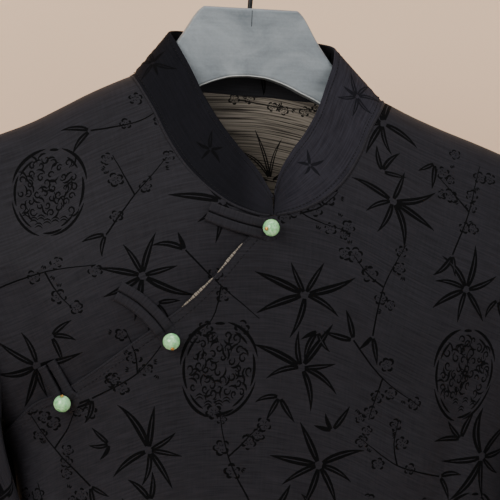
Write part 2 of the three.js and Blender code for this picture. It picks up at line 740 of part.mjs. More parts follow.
// The neck seam, from the wearer's right front round the back to the left front
function neckRing() {
  const seam = (side, neck, sign, alongs) => {
    const places = alongs.map((along) => {
      const past = side === 'front' && along > 1;
      return neckPlace(neck, past ? -sign : sign, past ? 2 - along : along);
    });
    const insides = places.map(({ turn, run }, i) => {
      const nearShoulder = alongs[i] < 0.1;
      return { turn: turn - (nearShoulder ? sign * besideTurn : 0), run: run + besideRun / 2 };
    });
    return edgeRing(side, places, insides).map((edge, i) => {
      const part = side === 'front' ? 0.5 + 0.5 * alongs[i] : 0.5 - 0.5 * alongs[i];
      return { ...edge, around: sign * part };
    });
  };
  const small = seam('front', frontNeck, -1, smallNeckSteps.slice(0, -1));
  const big = seam('front', frontNeck, 1, bigNeckSteps.slice(1).reverse());
  const backSteps = [...backNeckSteps, 1];
  const backRight = seam('back', backNeck, -1, backSteps);
  const backLeft = seam('back', backNeck, 1, backSteps);
  return [
    ...small.slice(1).reverse(),
    joinEdges(small[0], backRight[0]),
    ...backRight.slice(1),
    ...backLeft.slice(1, -1).reverse(),
    joinEdges(backLeft[0], big[0]),
    ...big.slice(1),
  ];
}

const collarTop = smoothColumns(collarRows);
const collarSteps = [0, 0.12, 0.4, 0.7, 1];

function collarWall() {
  const ring = neckRing();
  const top = ring.map(({ around }) => {
    const part = THREE.MathUtils.clamp(around, -1, 1);
    return new THREE.Vector3(collarTop.x(part) + slide, collarTop.y(part), collarTop.z(part));
  });
  const rows = collarSteps.map((part) => ring.map((edge, i) => edge.point.clone().lerp(top[i], part)));
  return sewnWall(ring, rows, 0);
}

// The highest of the fronts' faces under a spot, measured out from the cloth's smooth surface
const fronts = [];

function seatAt(x, z) {
  const { point, normal } = onFront(x, z);
  const reach = 40;
  const ray = new THREE.Raycaster(point.clone().addScaledVector(normal, reach), normal.clone().negate());
  const hit = ray.intersectObjects(fronts)[0];
  return { point, normal, height: hit ? reach - hit.distance : 0 };
}

// Half widths and heights round a band's section
const bandSection = [[-0.75, 0], [0.75, 0], [1, 0.4], [0.7, 0.95], [0, 1], [-0.7, 0.95], [-1, 0.4]];

const loopEye = 4.7; // radius of the loop's middle line round the bead
const loopEyeAngles = [130, 90, 45, 0, -45, -90, -130];
const loopPass = [0, 0.35, 0.7, 1]; // where along each straight band its line is set
const loopPassEnd = 4; // how far before the eye the straight bands end
const loopBandGap = 0.4; // space between the two bands
const loopSteps = 26;

// Spots round each section at which the cloth under a loop is felt for
const feelAcross = [-3, 0, 3];
const feelAlong = [-4, -2, 0, 2, 4];

// A button loop: one flat band that goes out to the bead, round it and back beside itself
function loopSolid({ bead, end, bend }) {
  const [from, middle, to] = [end, bend, bead].map(([x, z]) => new THREE.Vector2(x, z));
  const line = new THREE.QuadraticBezierCurve(from, middle, to);
  const length = line.getLength();
  const apart = (loopBand + loopBandGap) / 2;
  const pass = (side) => loopPass.map((part) => {
    const at = part * (1 - (loopEye + loopPassEnd) / length);
    const along = line.getTangentAt(at);
    return line.getPointAt(at).add(new THREE.Vector2(-along.y, along.x).multiplyScalar(side * apart));
  });
  const heading = line.getTangentAt(1).angle();
  const eye = loopEyeAngles.map((degrees) => {
    const angle = heading + THREE.MathUtils.degToRad(degrees);
    return new THREE.Vector2(to.x + loopEye * Math.cos(angle), to.y + loopEye * Math.sin(angle));
  });
  const path = new THREE.SplineCurve([...pass(1), ...eye, ...pass(-1).reverse()]);
  const rings = path.getSpacedPoints(loopSteps).map((point, i, all) => {
    const before = all[Math.max(i - 1, 0)];
    const after = all[Math.min(i + 1, all.length - 1)];
    const tangent = after.clone().sub(before).normalize();
    const seat = onFront(point.x, point.y);
    const beside = new THREE.Vector3(-tangent.y, 0, tangent.x);
    beside.addScaledVector(seat.normal, -beside.dot(seat.normal)).normalize();
    const around = feelAcross.flatMap((across) => feelAlong.map((along) => seatAt(
      point.x - tangent.y * across + tangent.x * along,
      point.y + tangent.x * across + tangent.y * along,
    ).height));
    const height = Math.max(...around) + seamGap;
    return bandSection.map(([across, up]) => seat.point.clone()
      .addScaledVector(beside, (across * loopBand) / 2)
      .addScaledVector(seat.normal, height + up * loopThickness));
  });
  return sweepRings(rings);
}

const pinSlack = 0.3; // space round the pin in the bead
const pinBend = 0.6; // where the pin bends, from the cloth (0) to the bead's middle (1)
const knobRadius = 1.25; // the pin's head
const knobLift = 0.9; // how far the head's middle stands off the bead
const holeReach = 7; // how far the bead's hole is cut from its middle
const pinSides = 6;
const pinSteps = 8;

// A bead and the bent pin through it, in the cloth's own directions
function beadAndPin({ bead, head }) {
  const seat = seatAt(bead[0], bead[1]);
  seat.point.addScaledVector(seat.normal, seat.height);
  const outward = new THREE.Matrix4().makeBasis(
    new THREE.Vector3(1, 0, 0),
    new THREE.Vector3(0, -1, 0),
    new THREE.Vector3(0, 0, 1),
  );
  const toHead = new THREE.Vector3(...head).applyMatrix4(outward).normalize();
  const centre = seat.point.clone().addScaledVector(seat.normal, beadLift);
  const foot = seat.point.clone().addScaledVector(seat.normal, seamGap);
  const inside = [foot, foot.clone().lerp(centre, pinBend), centre];
  const path = [...inside, centre.clone().addScaledVector(toHead, holeReach)];
  const tip = centre.clone().addScaledVector(toHead, beadRadius + knobLift);
  const shaft = [...inside, tip];
  const ball = new THREE.SphereGeometry(beadRadius, 16, 12).translate(...centre.toArray());
  const hole = wire(path, pinRadius + pinSlack, pinSides, pinSteps);
  const knob = new THREE.SphereGeometry(knobRadius, 8, 6).scale(1, 1, 0.5);
  const toward = new THREE.Quaternion().setFromUnitVectors(new THREE.Vector3(0, 0, 1), toHead);
  knob.applyQuaternion(toward).translate(...tip.toArray());
  return {
    bead: fromManifold(toManifold(ball).subtract(toManifold(hole))),
    pin: fromManifold(toManifold(wire(shaft, pinRadius, pinSides, pinSteps)).add(toManifold(knob))),
  };
}

// Hanger and hook

const hookSlack = 0.3; // space round the hook in its socket
const socketDepth = 12;
const cornerTurns = [0, 30, 60, 90];

function hangerSolid() {
  const half = [...hangerRows].reverse().map((row) => ({ ...row, x: -row.x })).slice(0, -1);
  const rings = [...half, ...hangerRows].map(({ x, top, low, corner }) => {
    const ring = [];
    for (const [ySign, zSign, start] of [[1, 1, 0], [-1, 1, 90], [-1, -1, 180], [1, -1, 270]]) {
      for (const turn of cornerTurns) {
        const angle = THREE.MathUtils.degToRad(start + turn);
        const y = ySign * (plateHalf - corner) + corner * Math.cos(angle);
        const z = (zSign > 0 ? top - corner : low + corner) + corner * Math.sin(angle);
        ring.push(new THREE.Vector3(x, y, z));
      }
    }
    return ring;
  });
  const bore = hookWire + hookSlack;
  const socket = new THREE.CylinderGeometry(bore, bore, 2 * socketDepth, 12);
  socket.rotateX(Math.PI / 2).translate(0, 0, hangerTop);
  return fromManifold(toManifold(sweepRings(rings)).subtract(toManifold(socket)));
}

const bowStart = -30; // degrees, from level at +X
const bowSweep = 235;

// The hook's shank, from its foot in the socket: heights above the hanger's top
const shankRows = [
  { x: 0, up: -11.5 },
  { x: 0, up: 4 },
  { x: 1.5, up: 14 },
  { x: 9, up: 23 },
];

function hookSolid() {
  const radius = hookInside + hookWire;
  const middle = -hookInside;
  const bow = steps(9).map((part) => {
    const angle = THREE.MathUtils.degToRad(bowStart + bowSweep * part);
    return new THREE.Vector3(radius * Math.cos(angle), 0, middle + radius * Math.sin(angle));
  });
  const shank = shankRows.map(({ x, up }) => new THREE.Vector3(x, 0, hangerTop + up));
  return wire([...shank, ...bow], hookWire, 8, 44);
}

// The whole

const group = new THREE.Group();

function place(name, geometry, look) {
  const mesh = new THREE.Mesh(geometry, new THREE.MeshStandardMaterial(look));
  mesh.name = name;
  group.add(mesh);
}

place('hanger', hangerSolid(), hangerLook);
place('hanger_hook', hookSolid(), hookLook);
place('back', wallBetween(backPanel()), clothLook);
place('front_under', wallBetween(smallFront()), clothLook);
place('front_main', wallBetween(bigFront()), clothLook);
fronts.push(...group.children.filter((mesh) => mesh.name.startsWith('front')));
place('sleeve_right', wallBetween(sleeveWall(-1), true), clothLook);
place('sleeve_left', wallBetween(sleeveWall(1), true), clothLook);
place('collar', wallBetween(collarWall()), clothLook);
for (const button of buttons) {
  const { bead, pin } = beadAndPin(button);
  place(`loop_${button.name}`, loopSolid(button), clothLook);
  place(`bead_${button.name}`, bead, jadeLook);
  place(`pin_${button.name}`, pin, goldLook);
}

export default group;
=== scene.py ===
# %% [markdown]
# A qipao top of black jacquard hangs on a grey hanger in front of a warm plain wall.
# The fixed frame gives the object's place and size. This script builds the visible cloth, buttons and
# hanger around it, with the woven pattern cut into the mesh, and then the camera and the light.

import math

import bmesh
import bpy
import numpy as np
from mathutils import Matrix, Vector
from mathutils.geometry import delaunay_2d_cdt


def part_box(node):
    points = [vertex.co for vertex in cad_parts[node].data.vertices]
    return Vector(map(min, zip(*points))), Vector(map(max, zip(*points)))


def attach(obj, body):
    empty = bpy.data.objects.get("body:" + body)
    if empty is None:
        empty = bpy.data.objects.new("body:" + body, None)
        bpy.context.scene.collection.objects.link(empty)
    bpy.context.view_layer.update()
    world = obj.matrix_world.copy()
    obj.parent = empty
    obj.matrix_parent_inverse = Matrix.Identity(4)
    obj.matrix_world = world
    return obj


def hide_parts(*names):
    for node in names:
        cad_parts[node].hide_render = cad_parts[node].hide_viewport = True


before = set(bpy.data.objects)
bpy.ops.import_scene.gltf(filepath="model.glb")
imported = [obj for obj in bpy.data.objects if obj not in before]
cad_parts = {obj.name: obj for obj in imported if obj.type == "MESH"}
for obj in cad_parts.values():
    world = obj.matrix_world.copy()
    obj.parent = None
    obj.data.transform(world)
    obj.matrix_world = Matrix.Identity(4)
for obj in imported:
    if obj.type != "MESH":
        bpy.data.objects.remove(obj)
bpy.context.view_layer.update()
scene = bpy.context.scene
print("frame", sorted(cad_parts))


def linked(name, data):
    piece = bpy.data.objects.new(name, data)
    scene.collection.objects.link(piece)
    return piece


# %% [markdown]
# The garment's surface comes from the same tables of measurements as the fixed frame, in millimetres.
# Each row is a height or a place and the sizes that belong to it, and smooth curves run through the rows.

# %% Measurements of the garment
SLIDE = 7.0  # how far the garment has slid along the hanger
SEAM_GAP = 0.35
HEM = -690.0
SHOULDER_ROUND = 13.0
ARMHOLE_DEPTH = 195.0
FLAP_LAP, FLAP_DIP = 25.0, 2.4
CLOTH_SCALE = (150, 1)  # millimetres for a step of turn and of run

SHOULDER = np.array([
    (-200, -163), (-186, -157), (-165, -148.7), (-146, -140.6), (-125, -129), (-111, -121),
    (-95, -113), (-83.5, -107.8), (-60, -98.8), (-30, -93), (0, -91.9), (30, -95.8), (60, -105),
    (83.5, -116), (101, -124), (123, -132.5), (145, -140), (164, -147), (186, -156), (200, -162),
])
# Rows of: distance below the shoulder line, half width on the wearer's right and left, fullness front and back
BODY = np.array([
    (0, 255, 255, 0, 0), (40, 241, 241, 18, 9), (70, 229, 230, 32, 13), (100, 213, 216, 42, 17),
    (140, 190, 199, 47, 21), (170, 170, 185, 47.5, 22), (195, 157, 176, 47, 22), (214, 149, 174.5, 46, 22),
    (230, 146.5, 173.5, 45.2, 21.5), (245, 145, 172.5, 44, 21), (300, 143, 168, 41, 19), (355, 145, 167, 38, 18),
    (440, 152, 170, 38, 20), (545, 167, 178, 41, 23), (610, 177, 184, 43, 25),
])
# Rows of: depth, armhole's distance from the centre on the wearer's right and left
ARMHOLE = np.array([
    (0, 186, 186), (35, 178, 180), (80, 170, 176.5), (130, 163, 175), (165, 159, 175), (195, 157, 176),
])
# Rows of: part of the way from the side neck to the centre, distance from the centre, distance below the line
FRONT_NECK = np.array([
    (0, 83.5, 0), (0.12, 78.5, 11), (0.26, 71, 27), (0.42, 62.5, 48), (0.6, 49.5, 71),
    (0.76, 33.5, 88.5), (0.89, 16, 99), (1, 0, 103), (1.11, -16, 99), (1.24, -33.5, 88.5),
])
BACK_NECK = np.array([
    (0, 83.5, 0), (0.15, 75, 8), (0.4, 56, 15), (0.7, 28, 21.5), (1, 0, 23.5), (1.3, -28, 21.5),
])
PLACKET = [
    (-6, -203), (-16, -215), (-30.5, -233), (-47, -250.5), (-62, -263), (-82, -278.5),
    (-103, -295.5), (-124, -311), (-140, -320),
]
# The collar's top edge, from the right front (-1) round the back (0) to the left front (1)
COLLAR = np.array([
    (-1, 3, -57, -183), (-0.94, -5.5, -49.5, -167), (-0.87, -17, -41, -152), (-0.79, -28.5, -32, -136),
    (-0.7, -38, -22.5, -119.5), (-0.62, -47, -15.5, -101), (-0.55, -55.5, -8.5, -85.5),
    (-0.5, -59.5, 0, -78), (-0.4, -52, 12, -76), (-0.2, -29, 18.5, -76), (0, 0, 20, -77),
    (0.2, 26, 18.5, -78), (0.4, 44, 12, -79.5), (0.5, 50.5, 0, -83), (0.56, 48.5, -9, -92),
    (0.63, 43, -16, -108), (0.71, 36, -27, -124.5), (0.79, 27, -36, -140), (0.87, 16.5, -43.5, -154),
    (0.94, 8.5, -51, -168), (1, 4.5, -57, -183),
])
# Rows of: part of the way down, outer edge across (right, left) and down, inner edge likewise, half depth,
# and how far the right sleeve's inner edge hangs ahead of the body's side
SLEEVE = np.array([
    (0, 186, 186, 0, 157, 176, 0, 25, 0), (0.04, 197, 198, 7, 156.5, 177, 9, 25, 2),
    (0.1, 210, 212.5, 26, 152, 177.5, 22, 24, 12), (0.25, 230, 235, 88, 141.5, 176, 53, 21, 15),
    (0.5, 250, 258, 188, 144.5, 172.5, 105, 18, 13), (0.75, 265, 274, 286, 149.5, 171.5, 155, 16.5, 5),
    (1, 276, 286, 384, 153.5, 173.5, 204, 15.5, 0),
])
# Troughs of soft folds: from, to, width, depth
FRONT_FOLDS = [
    (-158, -240, -138, -300, 13, 6), (-138, -300, -122, -345, 12, 8), (-122, -345, -114, -420, 12, 7),
    (-96, -500, -104, -690, 17, 6), (156, -250, 136, -310, 13, 6), (136, -310, 120, -400, 13, 7),
    (88, -520, 98, -690, 18, 6), (-18, -540, -12, -690, 20, 4),
]
BACK_FOLDS = [
    (-140, -260, -118, -400, 14, 5), (140, -270, 116, -400, 14, 5),
    (-60, -470, -72, -690, 18, 5), (66, -480, 74, -690, 18, 5),
]


# %% [markdown]
# The cloth of the body has two coordinates. The turn goes round the body from the left side seam (0) to
# the right one (pi), and the run is the length of cloth down from the shoulder line.

# %% Curves through the tables, and the body's surface
def smooth_table(rows, column=1):
    xs, ys = rows[:, 0].astype(float), rows[:, column].astype(float)
    secants = np.diff(ys) / np.diff(xs)
    slopes = np.r_[secants[0], np.zeros(len(xs) - 2), secants[-1]]
    product, total = secants[:-1] * secants[1:], secants[:-1] + secants[1:]
    same = product > 0
    slopes[1:-1][same] = 2 * product[same] / total[same]

    def curve(x):
        x = np.asarray(x, float)
        i = np.clip(np.searchsorted(xs, x, side="right") - 1, 0, len(xs) - 2)
        span = xs[i + 1] - xs[i]
        t = np.clip((x - xs[i]) / span, 0, 1)
        bend = 3 * secants[i] - 2 * slopes[i] - slopes[i + 1]
        twist = slopes[i] + slopes[i + 1] - 2 * secants[i]
        return ys[i] + span * (slopes[i] * t + bend * t**2 + twist * t**3)

    return curve


def smooth_step(low, high, value):
    t = np.clip((np.asarray(value, float) - low) / (high - low), 0, 1)
    return t * t * (3 - 2 * t)


shoulder_line = smooth_table(SHOULDER)
half_widths = smooth_table(BODY, 1), smooth_table(BODY, 2)
fullness = {"front": smooth_table(BODY, 3), "back": smooth_table(BODY, 4)}
armholes = smooth_table(ARMHOLE, 1), smooth_table(ARMHOLE, 2)
QUARTER = SHOULDER_ROUND * math.pi / 2


def half_width(down, x):
    return np.where(x > 0, half_widths[1](down), half_widths[0](down))


def armhole_x(down, x):
    return np.where(x > 0, armholes[1](down), armholes[0](down))


def down_of(run):
    run = np.abs(run)
    turned = SHOULDER_ROUND * (1 - np.cos(np.minimum(run, QUARTER) / SHOULDER_ROUND))
    return np.where(run > QUARTER, SHOULDER_ROUND + run - QUARTER, turned)


def run_of(down):
    down = np.maximum(down, 0)
    turned = SHOULDER_ROUND * np.arccos(np.clip(1 - down / SHOULDER_ROUND, -1, 1))
    return np.where(down > SHOULDER_ROUND, down - SHOULDER_ROUND + QUARTER, turned)


def fold_depth(folds, x, z):
    depth = np.zeros_like(x)
    for x0, z0, x1, z1, width, most in folds:
        dx, dz = x1 - x0, z1 - z0
        length = math.hypot(dx, dz)
        part = ((x - x0) * dx + (z - z0) * dz) / length**2
        aside = ((x - x0) * dz - (z - z0) * dx) / length / width
        ends = smooth_step(-0.25, 0.25, part) * smooth_step(-1.25, -0.75, -part)
        depth += most * ends * np.exp(-(aside**2))
    return depth


def cloth_point(side, turn, run):
    turn, run = np.asarray(turn, float), np.asarray(run, float)
    down = down_of(run)
    x = half_width(down, np.cos(turn)) * np.cos(turn)
    z = shoulder_line(x) - down
    folds = FRONT_FOLDS if side == "front" else BACK_FOLDS
    fold = fold_depth(folds, x, z) * smooth_step(20, 60, down)
    over = SHOULDER_ROUND * np.sin(np.minimum(np.abs(run), QUARTER) / SHOULDER_ROUND)
    depth = np.sign(run) * (over + fullness[side](down) - fold)
    facing = -1 if side == "front" else 1
    return np.stack([x + SLIDE, facing * (SEAM_GAP / 2 + depth * np.sin(turn)), z], -1)


def unit(vectors):
    return vectors / np.maximum(np.linalg.norm(vectors, axis=-1, keepdims=True), 1e-12)


def tangents(point, u, v, du=0.002, dv=0.05):
    across = (point(u + du, v) - point(u - du, v)) / (2 * du)
    down = (point(u, v + dv) - point(u, v - dv)) / (2 * dv)
    return across, down


def place_of(x, z):
    down = shoulder_line(x) - z
    return np.arccos(np.clip(x / half_width(down, x), -1, 1)), run_of(down)


# %% [markdown]
# The edges of the panels are lists of (turn, run) places: armholes, neck, placket, side seams and hem.

# %% Edges of the panels
front_neck = smooth_table(FRONT_NECK, 1), smooth_table(FRONT_NECK, 2)
back_neck = smooth_table(BACK_NECK, 1), smooth_table(BACK_NECK, 2)
UNDERARM = float(run_of(ARMHOLE_DEPTH))


def places(turn, run):
    turn, run = np.broadcast_arrays(np.asarray(turn, float), np.asarray(run, float))
    return np.stack([turn, run], -1)


def armhole_places(sign, runs):
    down = down_of(runs)
    cosine = np.minimum(armhole_x(down, sign) / half_width(down, sign), 1)
    return places(np.arccos(sign * cosine), runs)


def neck_places(neck, sign, along):
    along = np.asarray(along, float)
    sign = np.where(along > 1, -sign, sign)
    along = np.where(along > 1, 2 - along, along)
    down = neck[1](along)
    x = sign * neck[0](along)
    return places(np.arccos(x / half_width(down, x)), run_of(down))


def hem_places(turn):
    down = np.full_like(turn, -HEM - 100)
    for _ in range(12):
        down = shoulder_line(half_width(down, np.cos(turn)) * np.cos(turn)) - HEM
    return places(turn, run_of(down))


def spline(points, count):
    points = np.asarray(points, float)
    last = len(points) - 1
    t = np.linspace(0, last, 40 * last + 1)
    i = np.minimum(t.astype(int), last - 1)
    w = (t - i)[:, None]
    p0, p1 = points[np.maximum(i - 1, 0)], points[i]
    p2, p3 = points[i + 1], points[np.minimum(i + 2, last)]
    v0, v1 = (p2 - p0) / 2, (p3 - p1) / 2
    dense = (2 * p1 - 2 * p2 + v0 + v1) * w**3 + (-3 * p1 + 3 * p2 - 2 * v0 - v1) * w**2 + v0 * w + p1
    walked = np.r_[0, np.cumsum(np.linalg.norm(np.diff(dense, axis=0), axis=1))]
    even = np.linspace(0, walked[-1], count)
    return np.stack([np.interp(even, walked, dense[:, k]) for k in range(points.shape[1])], -1)


def flat_xz(turn, run):
    point = cloth_point("front", turn, run)
    return np.stack([point[..., 0] - SLIDE, point[..., 2]], -1)


placket_neck = neck_places(front_neck, 1, np.array([1.03]))[0]
placket_end = armhole_places(-1, np.array([UNDERARM]))[0]
placket = spline([flat_xz(*placket_neck), *PLACKET, flat_xz(*placket_end)], 121)


def inside_flap(x, z):
    """Distance from the placket's edge, positive under the big front."""
    starts, ways = placket[:-1], np.diff(placket, axis=0)
    fx, fz = x[..., None] - starts[:, 0], z[..., None] - starts[:, 1]
    part = np.clip((fx * ways[:, 0] + fz * ways[:, 1]) / (ways**2).sum(1), 0, 1)
    distance = np.hypot(fx - part * ways[:, 0], fz - part * ways[:, 1])
    best = distance.argmin(-1)[..., None]
    sign = np.sign(ways[:, 0] * fz - ways[:, 1] * fx)
    return (np.take_along_axis(distance, best, -1) * np.take_along_axis(sign, best, -1))[..., 0]


def edge_lift(x, z):
    near = np.exp(-((inside_flap(x, z) / 9) ** 2))
    lift = np.zeros_like(near)
    for gap_x, gap_z, reach, most in [(-34, -237, 20, 2.2), (-92, -287, 18, 1.4)]:
        away = np.hypot(x - gap_x, z - gap_z) / reach
        lift += most * near * np.exp(-(away**4))
    return lift


# %% [markdown]
# Each surface is a function of two coordinates. It knows its own outward side and how to lay a small flat
# shape on the cloth without stretching it.

# %% Surfaces
class Surface:
    def __init__(self, point, outward, scale, ripple=None, steps=(0.002, 0.05)):
        self.base, self.outward, self.ripple, self.steps = point, outward, ripple, steps
        self.scale = np.array(scale, float)

    def frame_at(self, uv):
        return tangents(self.base, uv[..., 0], uv[..., 1], *self.steps)

    def normal(self, uv):
        across, down = self.frame_at(uv)
        return unit(np.cross(across, down)) * self.outward

    def point(self, uv):
        points = self.base(uv[..., 0], uv[..., 1])
        if self.ripple is None:
            return points
        return points + self.normal(uv) * self.ripple(points)[..., None]

    def lay(self, centres, offsets):
        """Turns offsets in millimetres, right and up as seen from outside, into the surface's coordinates."""
        across, down = self.frame_at(centres)
        normal = unit(np.cross(across, down)) * self.outward
        up = np.array([0, 0, 1.0]) - normal * normal[..., 2:3]
        up = unit(up)
        right = unit(np.cross(up, normal))
        step = right * offsets[..., 0:1] + up * offsets[..., 1:2]
        aa, ad, dd = (across**2).sum(-1), (across * down).sum(-1), (down**2).sum(-1)
        sa, sd = (step * across).sum(-1), (step * down).sum(-1)
        scale = np.maximum(aa * dd - ad**2, 1e-9)
        return centres + np.stack([(sa * dd - sd * ad) / scale, (sd * aa - sa * ad) / scale], -1)


def soft_ripple(points):
    """Small uneven waves of hanging cloth, in millimetres."""
    x, y, z = points[..., 0], points[..., 1], points[..., 2]
    wave = 0.45 * np.sin(x / 19 + 1.7 * np.sin(z / 63)) * np.cos(z / 47 + x / 90)
    wave += 0.3 * np.sin(x / 11 - z / 23 + y / 15) * np.sin(z / 31 + 1.3)
    return wave * smooth_step(-125, -175, z)


def lower_flap(points):
    x, z = points[..., 0] - SLIDE, points[..., 2]
    under = inside_flap(x, z)
    return soft_ripple(points) * smooth_step(0, -25, under) - FLAP_DIP * smooth_step(-18, -2, under)


def lifted_edge(points):
    x, z = points[..., 0] - SLIDE, points[..., 2]
    calm = smooth_step(0, 25, np.abs(inside_flap(x, z)))
    return soft_ripple(points) * calm + edge_lift(x, z)


front_surface = Surface(lambda u, v: cloth_point("front", u, v), 1, CLOTH_SCALE, lifted_edge)
under_surface = Surface(lambda u, v: cloth_point("front", u, v), 1, CLOTH_SCALE, lower_flap)
back_surface = Surface(lambda u, v: cloth_point("back", u, v), -1, CLOTH_SCALE, soft_ripple)

# %% [markdown]
# A sheet of cloth is one triangulation of its cut shape in which the pattern's shapes are cut out of the
# ground. Levels decide what shows where shapes cross: the highest one wins. The sheet gets an inner face
# and a narrow edge, so it is a closed piece with a right side, a reverse and its pattern on both.


# %% Sheets with a woven pattern
def inside_polygon(points, outline):
    x, y = points[:, 0:1], points[:, 1:2]
    x0, y0 = outline[:, 0], outline[:, 1]
    x1, y1 = np.roll(x0, -1), np.roll(y0, -1)
    crosses = (y0 > y) != (y1 > y)
    rise = np.where(y1 == y0, 1, y1 - y0)
    return (crosses & (x < (x1 - x0) * (y - y0) / rise + x0)).sum(1) % 2 == 1


def grid_inside(outline, spacing):
    low, high = outline.min(0), outline.max(0)
    xs = np.arange(low[0] + spacing / 2, high[0], spacing)
    ys = np.arange(low[1] + spacing / 2, high[1], spacing * 0.87)
    grid = np.array([(x + spacing / 2 * (j % 2), y) for j, y in enumerate(ys) for x in xs])
    grid = grid[inside_polygon(grid, outline)]
    starts, ways = outline, np.roll(outline, -1, axis=0) - outline
    lengths = np.maximum((ways**2).sum(1), 1e-12)
    away = grid[:, None] - starts
    part = np.clip((away * ways).sum(-1) / lengths, 0, 1)
    distance = np.linalg.norm(away - part[..., None] * ways, axis=-1).min(1)
    return grid[distance > spacing * 0.45]


def triangulate(outline, shapes, spacing):
    """Triangles of the outline's inside, and for each whether it is pattern."""
    faces = [outline] + [polygon for _, _, polygon in shapes]
    coords, ids = [], []
    for polygon in faces:
        x, y = polygon[:, 0], polygon[:, 1]
        area = (x * np.roll(y, -1) - y * np.roll(x, -1)).sum()
        polygon = polygon if area > 0 else polygon[::-1]
        ids.append(list(range(len(coords), len(coords) + len(polygon))))
        coords.extend(map(tuple, polygon))
    coords.extend(map(tuple, grid_inside(outline, spacing)))
    points, _, triangles, _, _, origin = delaunay_2d_cdt([Vector(c) for c in coords], [], ids, 0, 1e-4)
    kept, pattern = [], []
    for triangle, sources in zip(triangles, origin):
        if 0 in sources and len(triangle) == 3:
            best = max((s for s in sources if s), key=lambda s: shapes[s - 1][0], default=0)
            kept.append(triangle)
            pattern.append(bool(best) and shapes[best - 1][1])
    return np.array([tuple(p) for p in points]), np.array(kept), np.array(pattern)


def sheet_object(name, surface, outline, shapes, spacing, thickness, materials):
    scaled = [(level, on, polygon * surface.scale) for level, on, polygon in shapes]
    flat, triangles, pattern = triangulate(outline * surface.scale, scaled, spacing)
    used = np.unique(triangles)
    new = np.full(len(flat), -1)
    new[used] = np.arange(len(used))
    flat, triangles = flat[used], new[triangles]
    uv = flat / surface.scale
    outer = surface.point(uv)
    normal = surface.normal(uv)
    first = outer[triangles]
    facing = (np.cross(first[:, 1] - first[:, 0], first[:, 2] - first[:, 0]) * normal[triangles[:, 0]]).sum(1)
    triangles = np.where((facing < 0)[:, None], triangles[:, ::-1], triangles)
    inner = outer - normal * thickness
    count = len(outer)
    edges = np.concatenate([triangles[:, [0, 1]], triangles[:, [1, 2]], triangles[:, [2, 0]]])
    key = np.sort(edges, axis=1)
    _, index, times = np.unique(key, axis=0, return_index=True, return_counts=True)
    rim = edges[index[times == 1]]
    walls = np.stack([rim[:, 1], rim[:, 0], rim[:, 0] + count, rim[:, 1] + count], 1)
    faces = [*triangles.tolist(), *(triangles[:, ::-1] + count).tolist(), *walls.tolist()]
    mesh = bpy.data.meshes.new(name)
    mesh.from_pydata((np.concatenate([outer, inner]) / 1000).tolist(), [], faces)
    slots = np.concatenate([pattern.astype(int), pattern.astype(int) + 2, np.zeros(len(walls), int)])
    mesh.polygons.foreach_set("material_index", slots.astype(np.int32))
    mesh.polygons.foreach_set("use_smooth", np.ones(len(faces), bool))
    layer = mesh.uv_layers.new(name="cloth")
    corner = np.zeros(len(mesh.loops), np.int32)
    mesh.loops.foreach_get("vertex_index", corner)
    layer.uv.foreach_set("vector", (flat[corner % count] / 1000).astype(np.float32).ravel())
    sharp = mesh.attributes.new("sharp_edge", "BOOLEAN", "EDGE")
    ends = np.zeros(len(mesh.edges) * 2, np.int32)
    mesh.edges.foreach_get("vertices", ends)
    pairs = np.sort(ends.reshape(-1, 2), axis=1)
    rims = {tuple(p) for p in np.sort(rim, axis=1)} | {tuple(p + count) for p in np.sort(rim, axis=1)}
    sharp.data.foreach_set("value", np.array([tuple(p) in rims for p in pairs]))
    for material in materials:
        mesh.materials.append(material)
    mesh.validate()
    piece = linked(name, mesh)
    one_side = outer[triangles]
    area = np.linalg.norm(np.cross(one_side[:, 1] - one_side[:, 0], one_side[:, 2] - one_side[:, 0]), axis=1)
    piece["area"] = float(area.sum() / 2e6)
    print(name, len(faces), "faces,", int(pattern.sum()), "of pattern, area", round(piece["area"], 4))
    return piece


# %% [markdown]
# The cut shapes of the body's panels, as closed outlines of places on the cloth.

# %% Outlines of the body's panels
SIDE_RUNS = np.linspace(UNDERARM, float(hem_places(np.array([0.0]))[0, 1]), 70)
ARM_RUNS = np.linspace(0, UNDERARM, 46)


def shoulder_places(sign, count=26):
    return places(np.arccos(sign * np.linspace(186, 83.5, count) / 255), 0)


def side_places(turn):
    last = float(hem_places(np.array([float(turn)]))[0, 1])
    return places(turn, UNDERARM + (SIDE_RUNS - UNDERARM) * (last - UNDERARM) / (SIDE_RUNS[-1] - UNDERARM))


def ring_of(*parts):
    """Joins edges into one closed outline and leaves out doubled places."""
    line = np.concatenate(parts)
    scaled = line * CLOTH_SCALE
    keep = np.linalg.norm(scaled - np.roll(scaled, 1, axis=0), axis=1) > 0.05
    return line[keep]


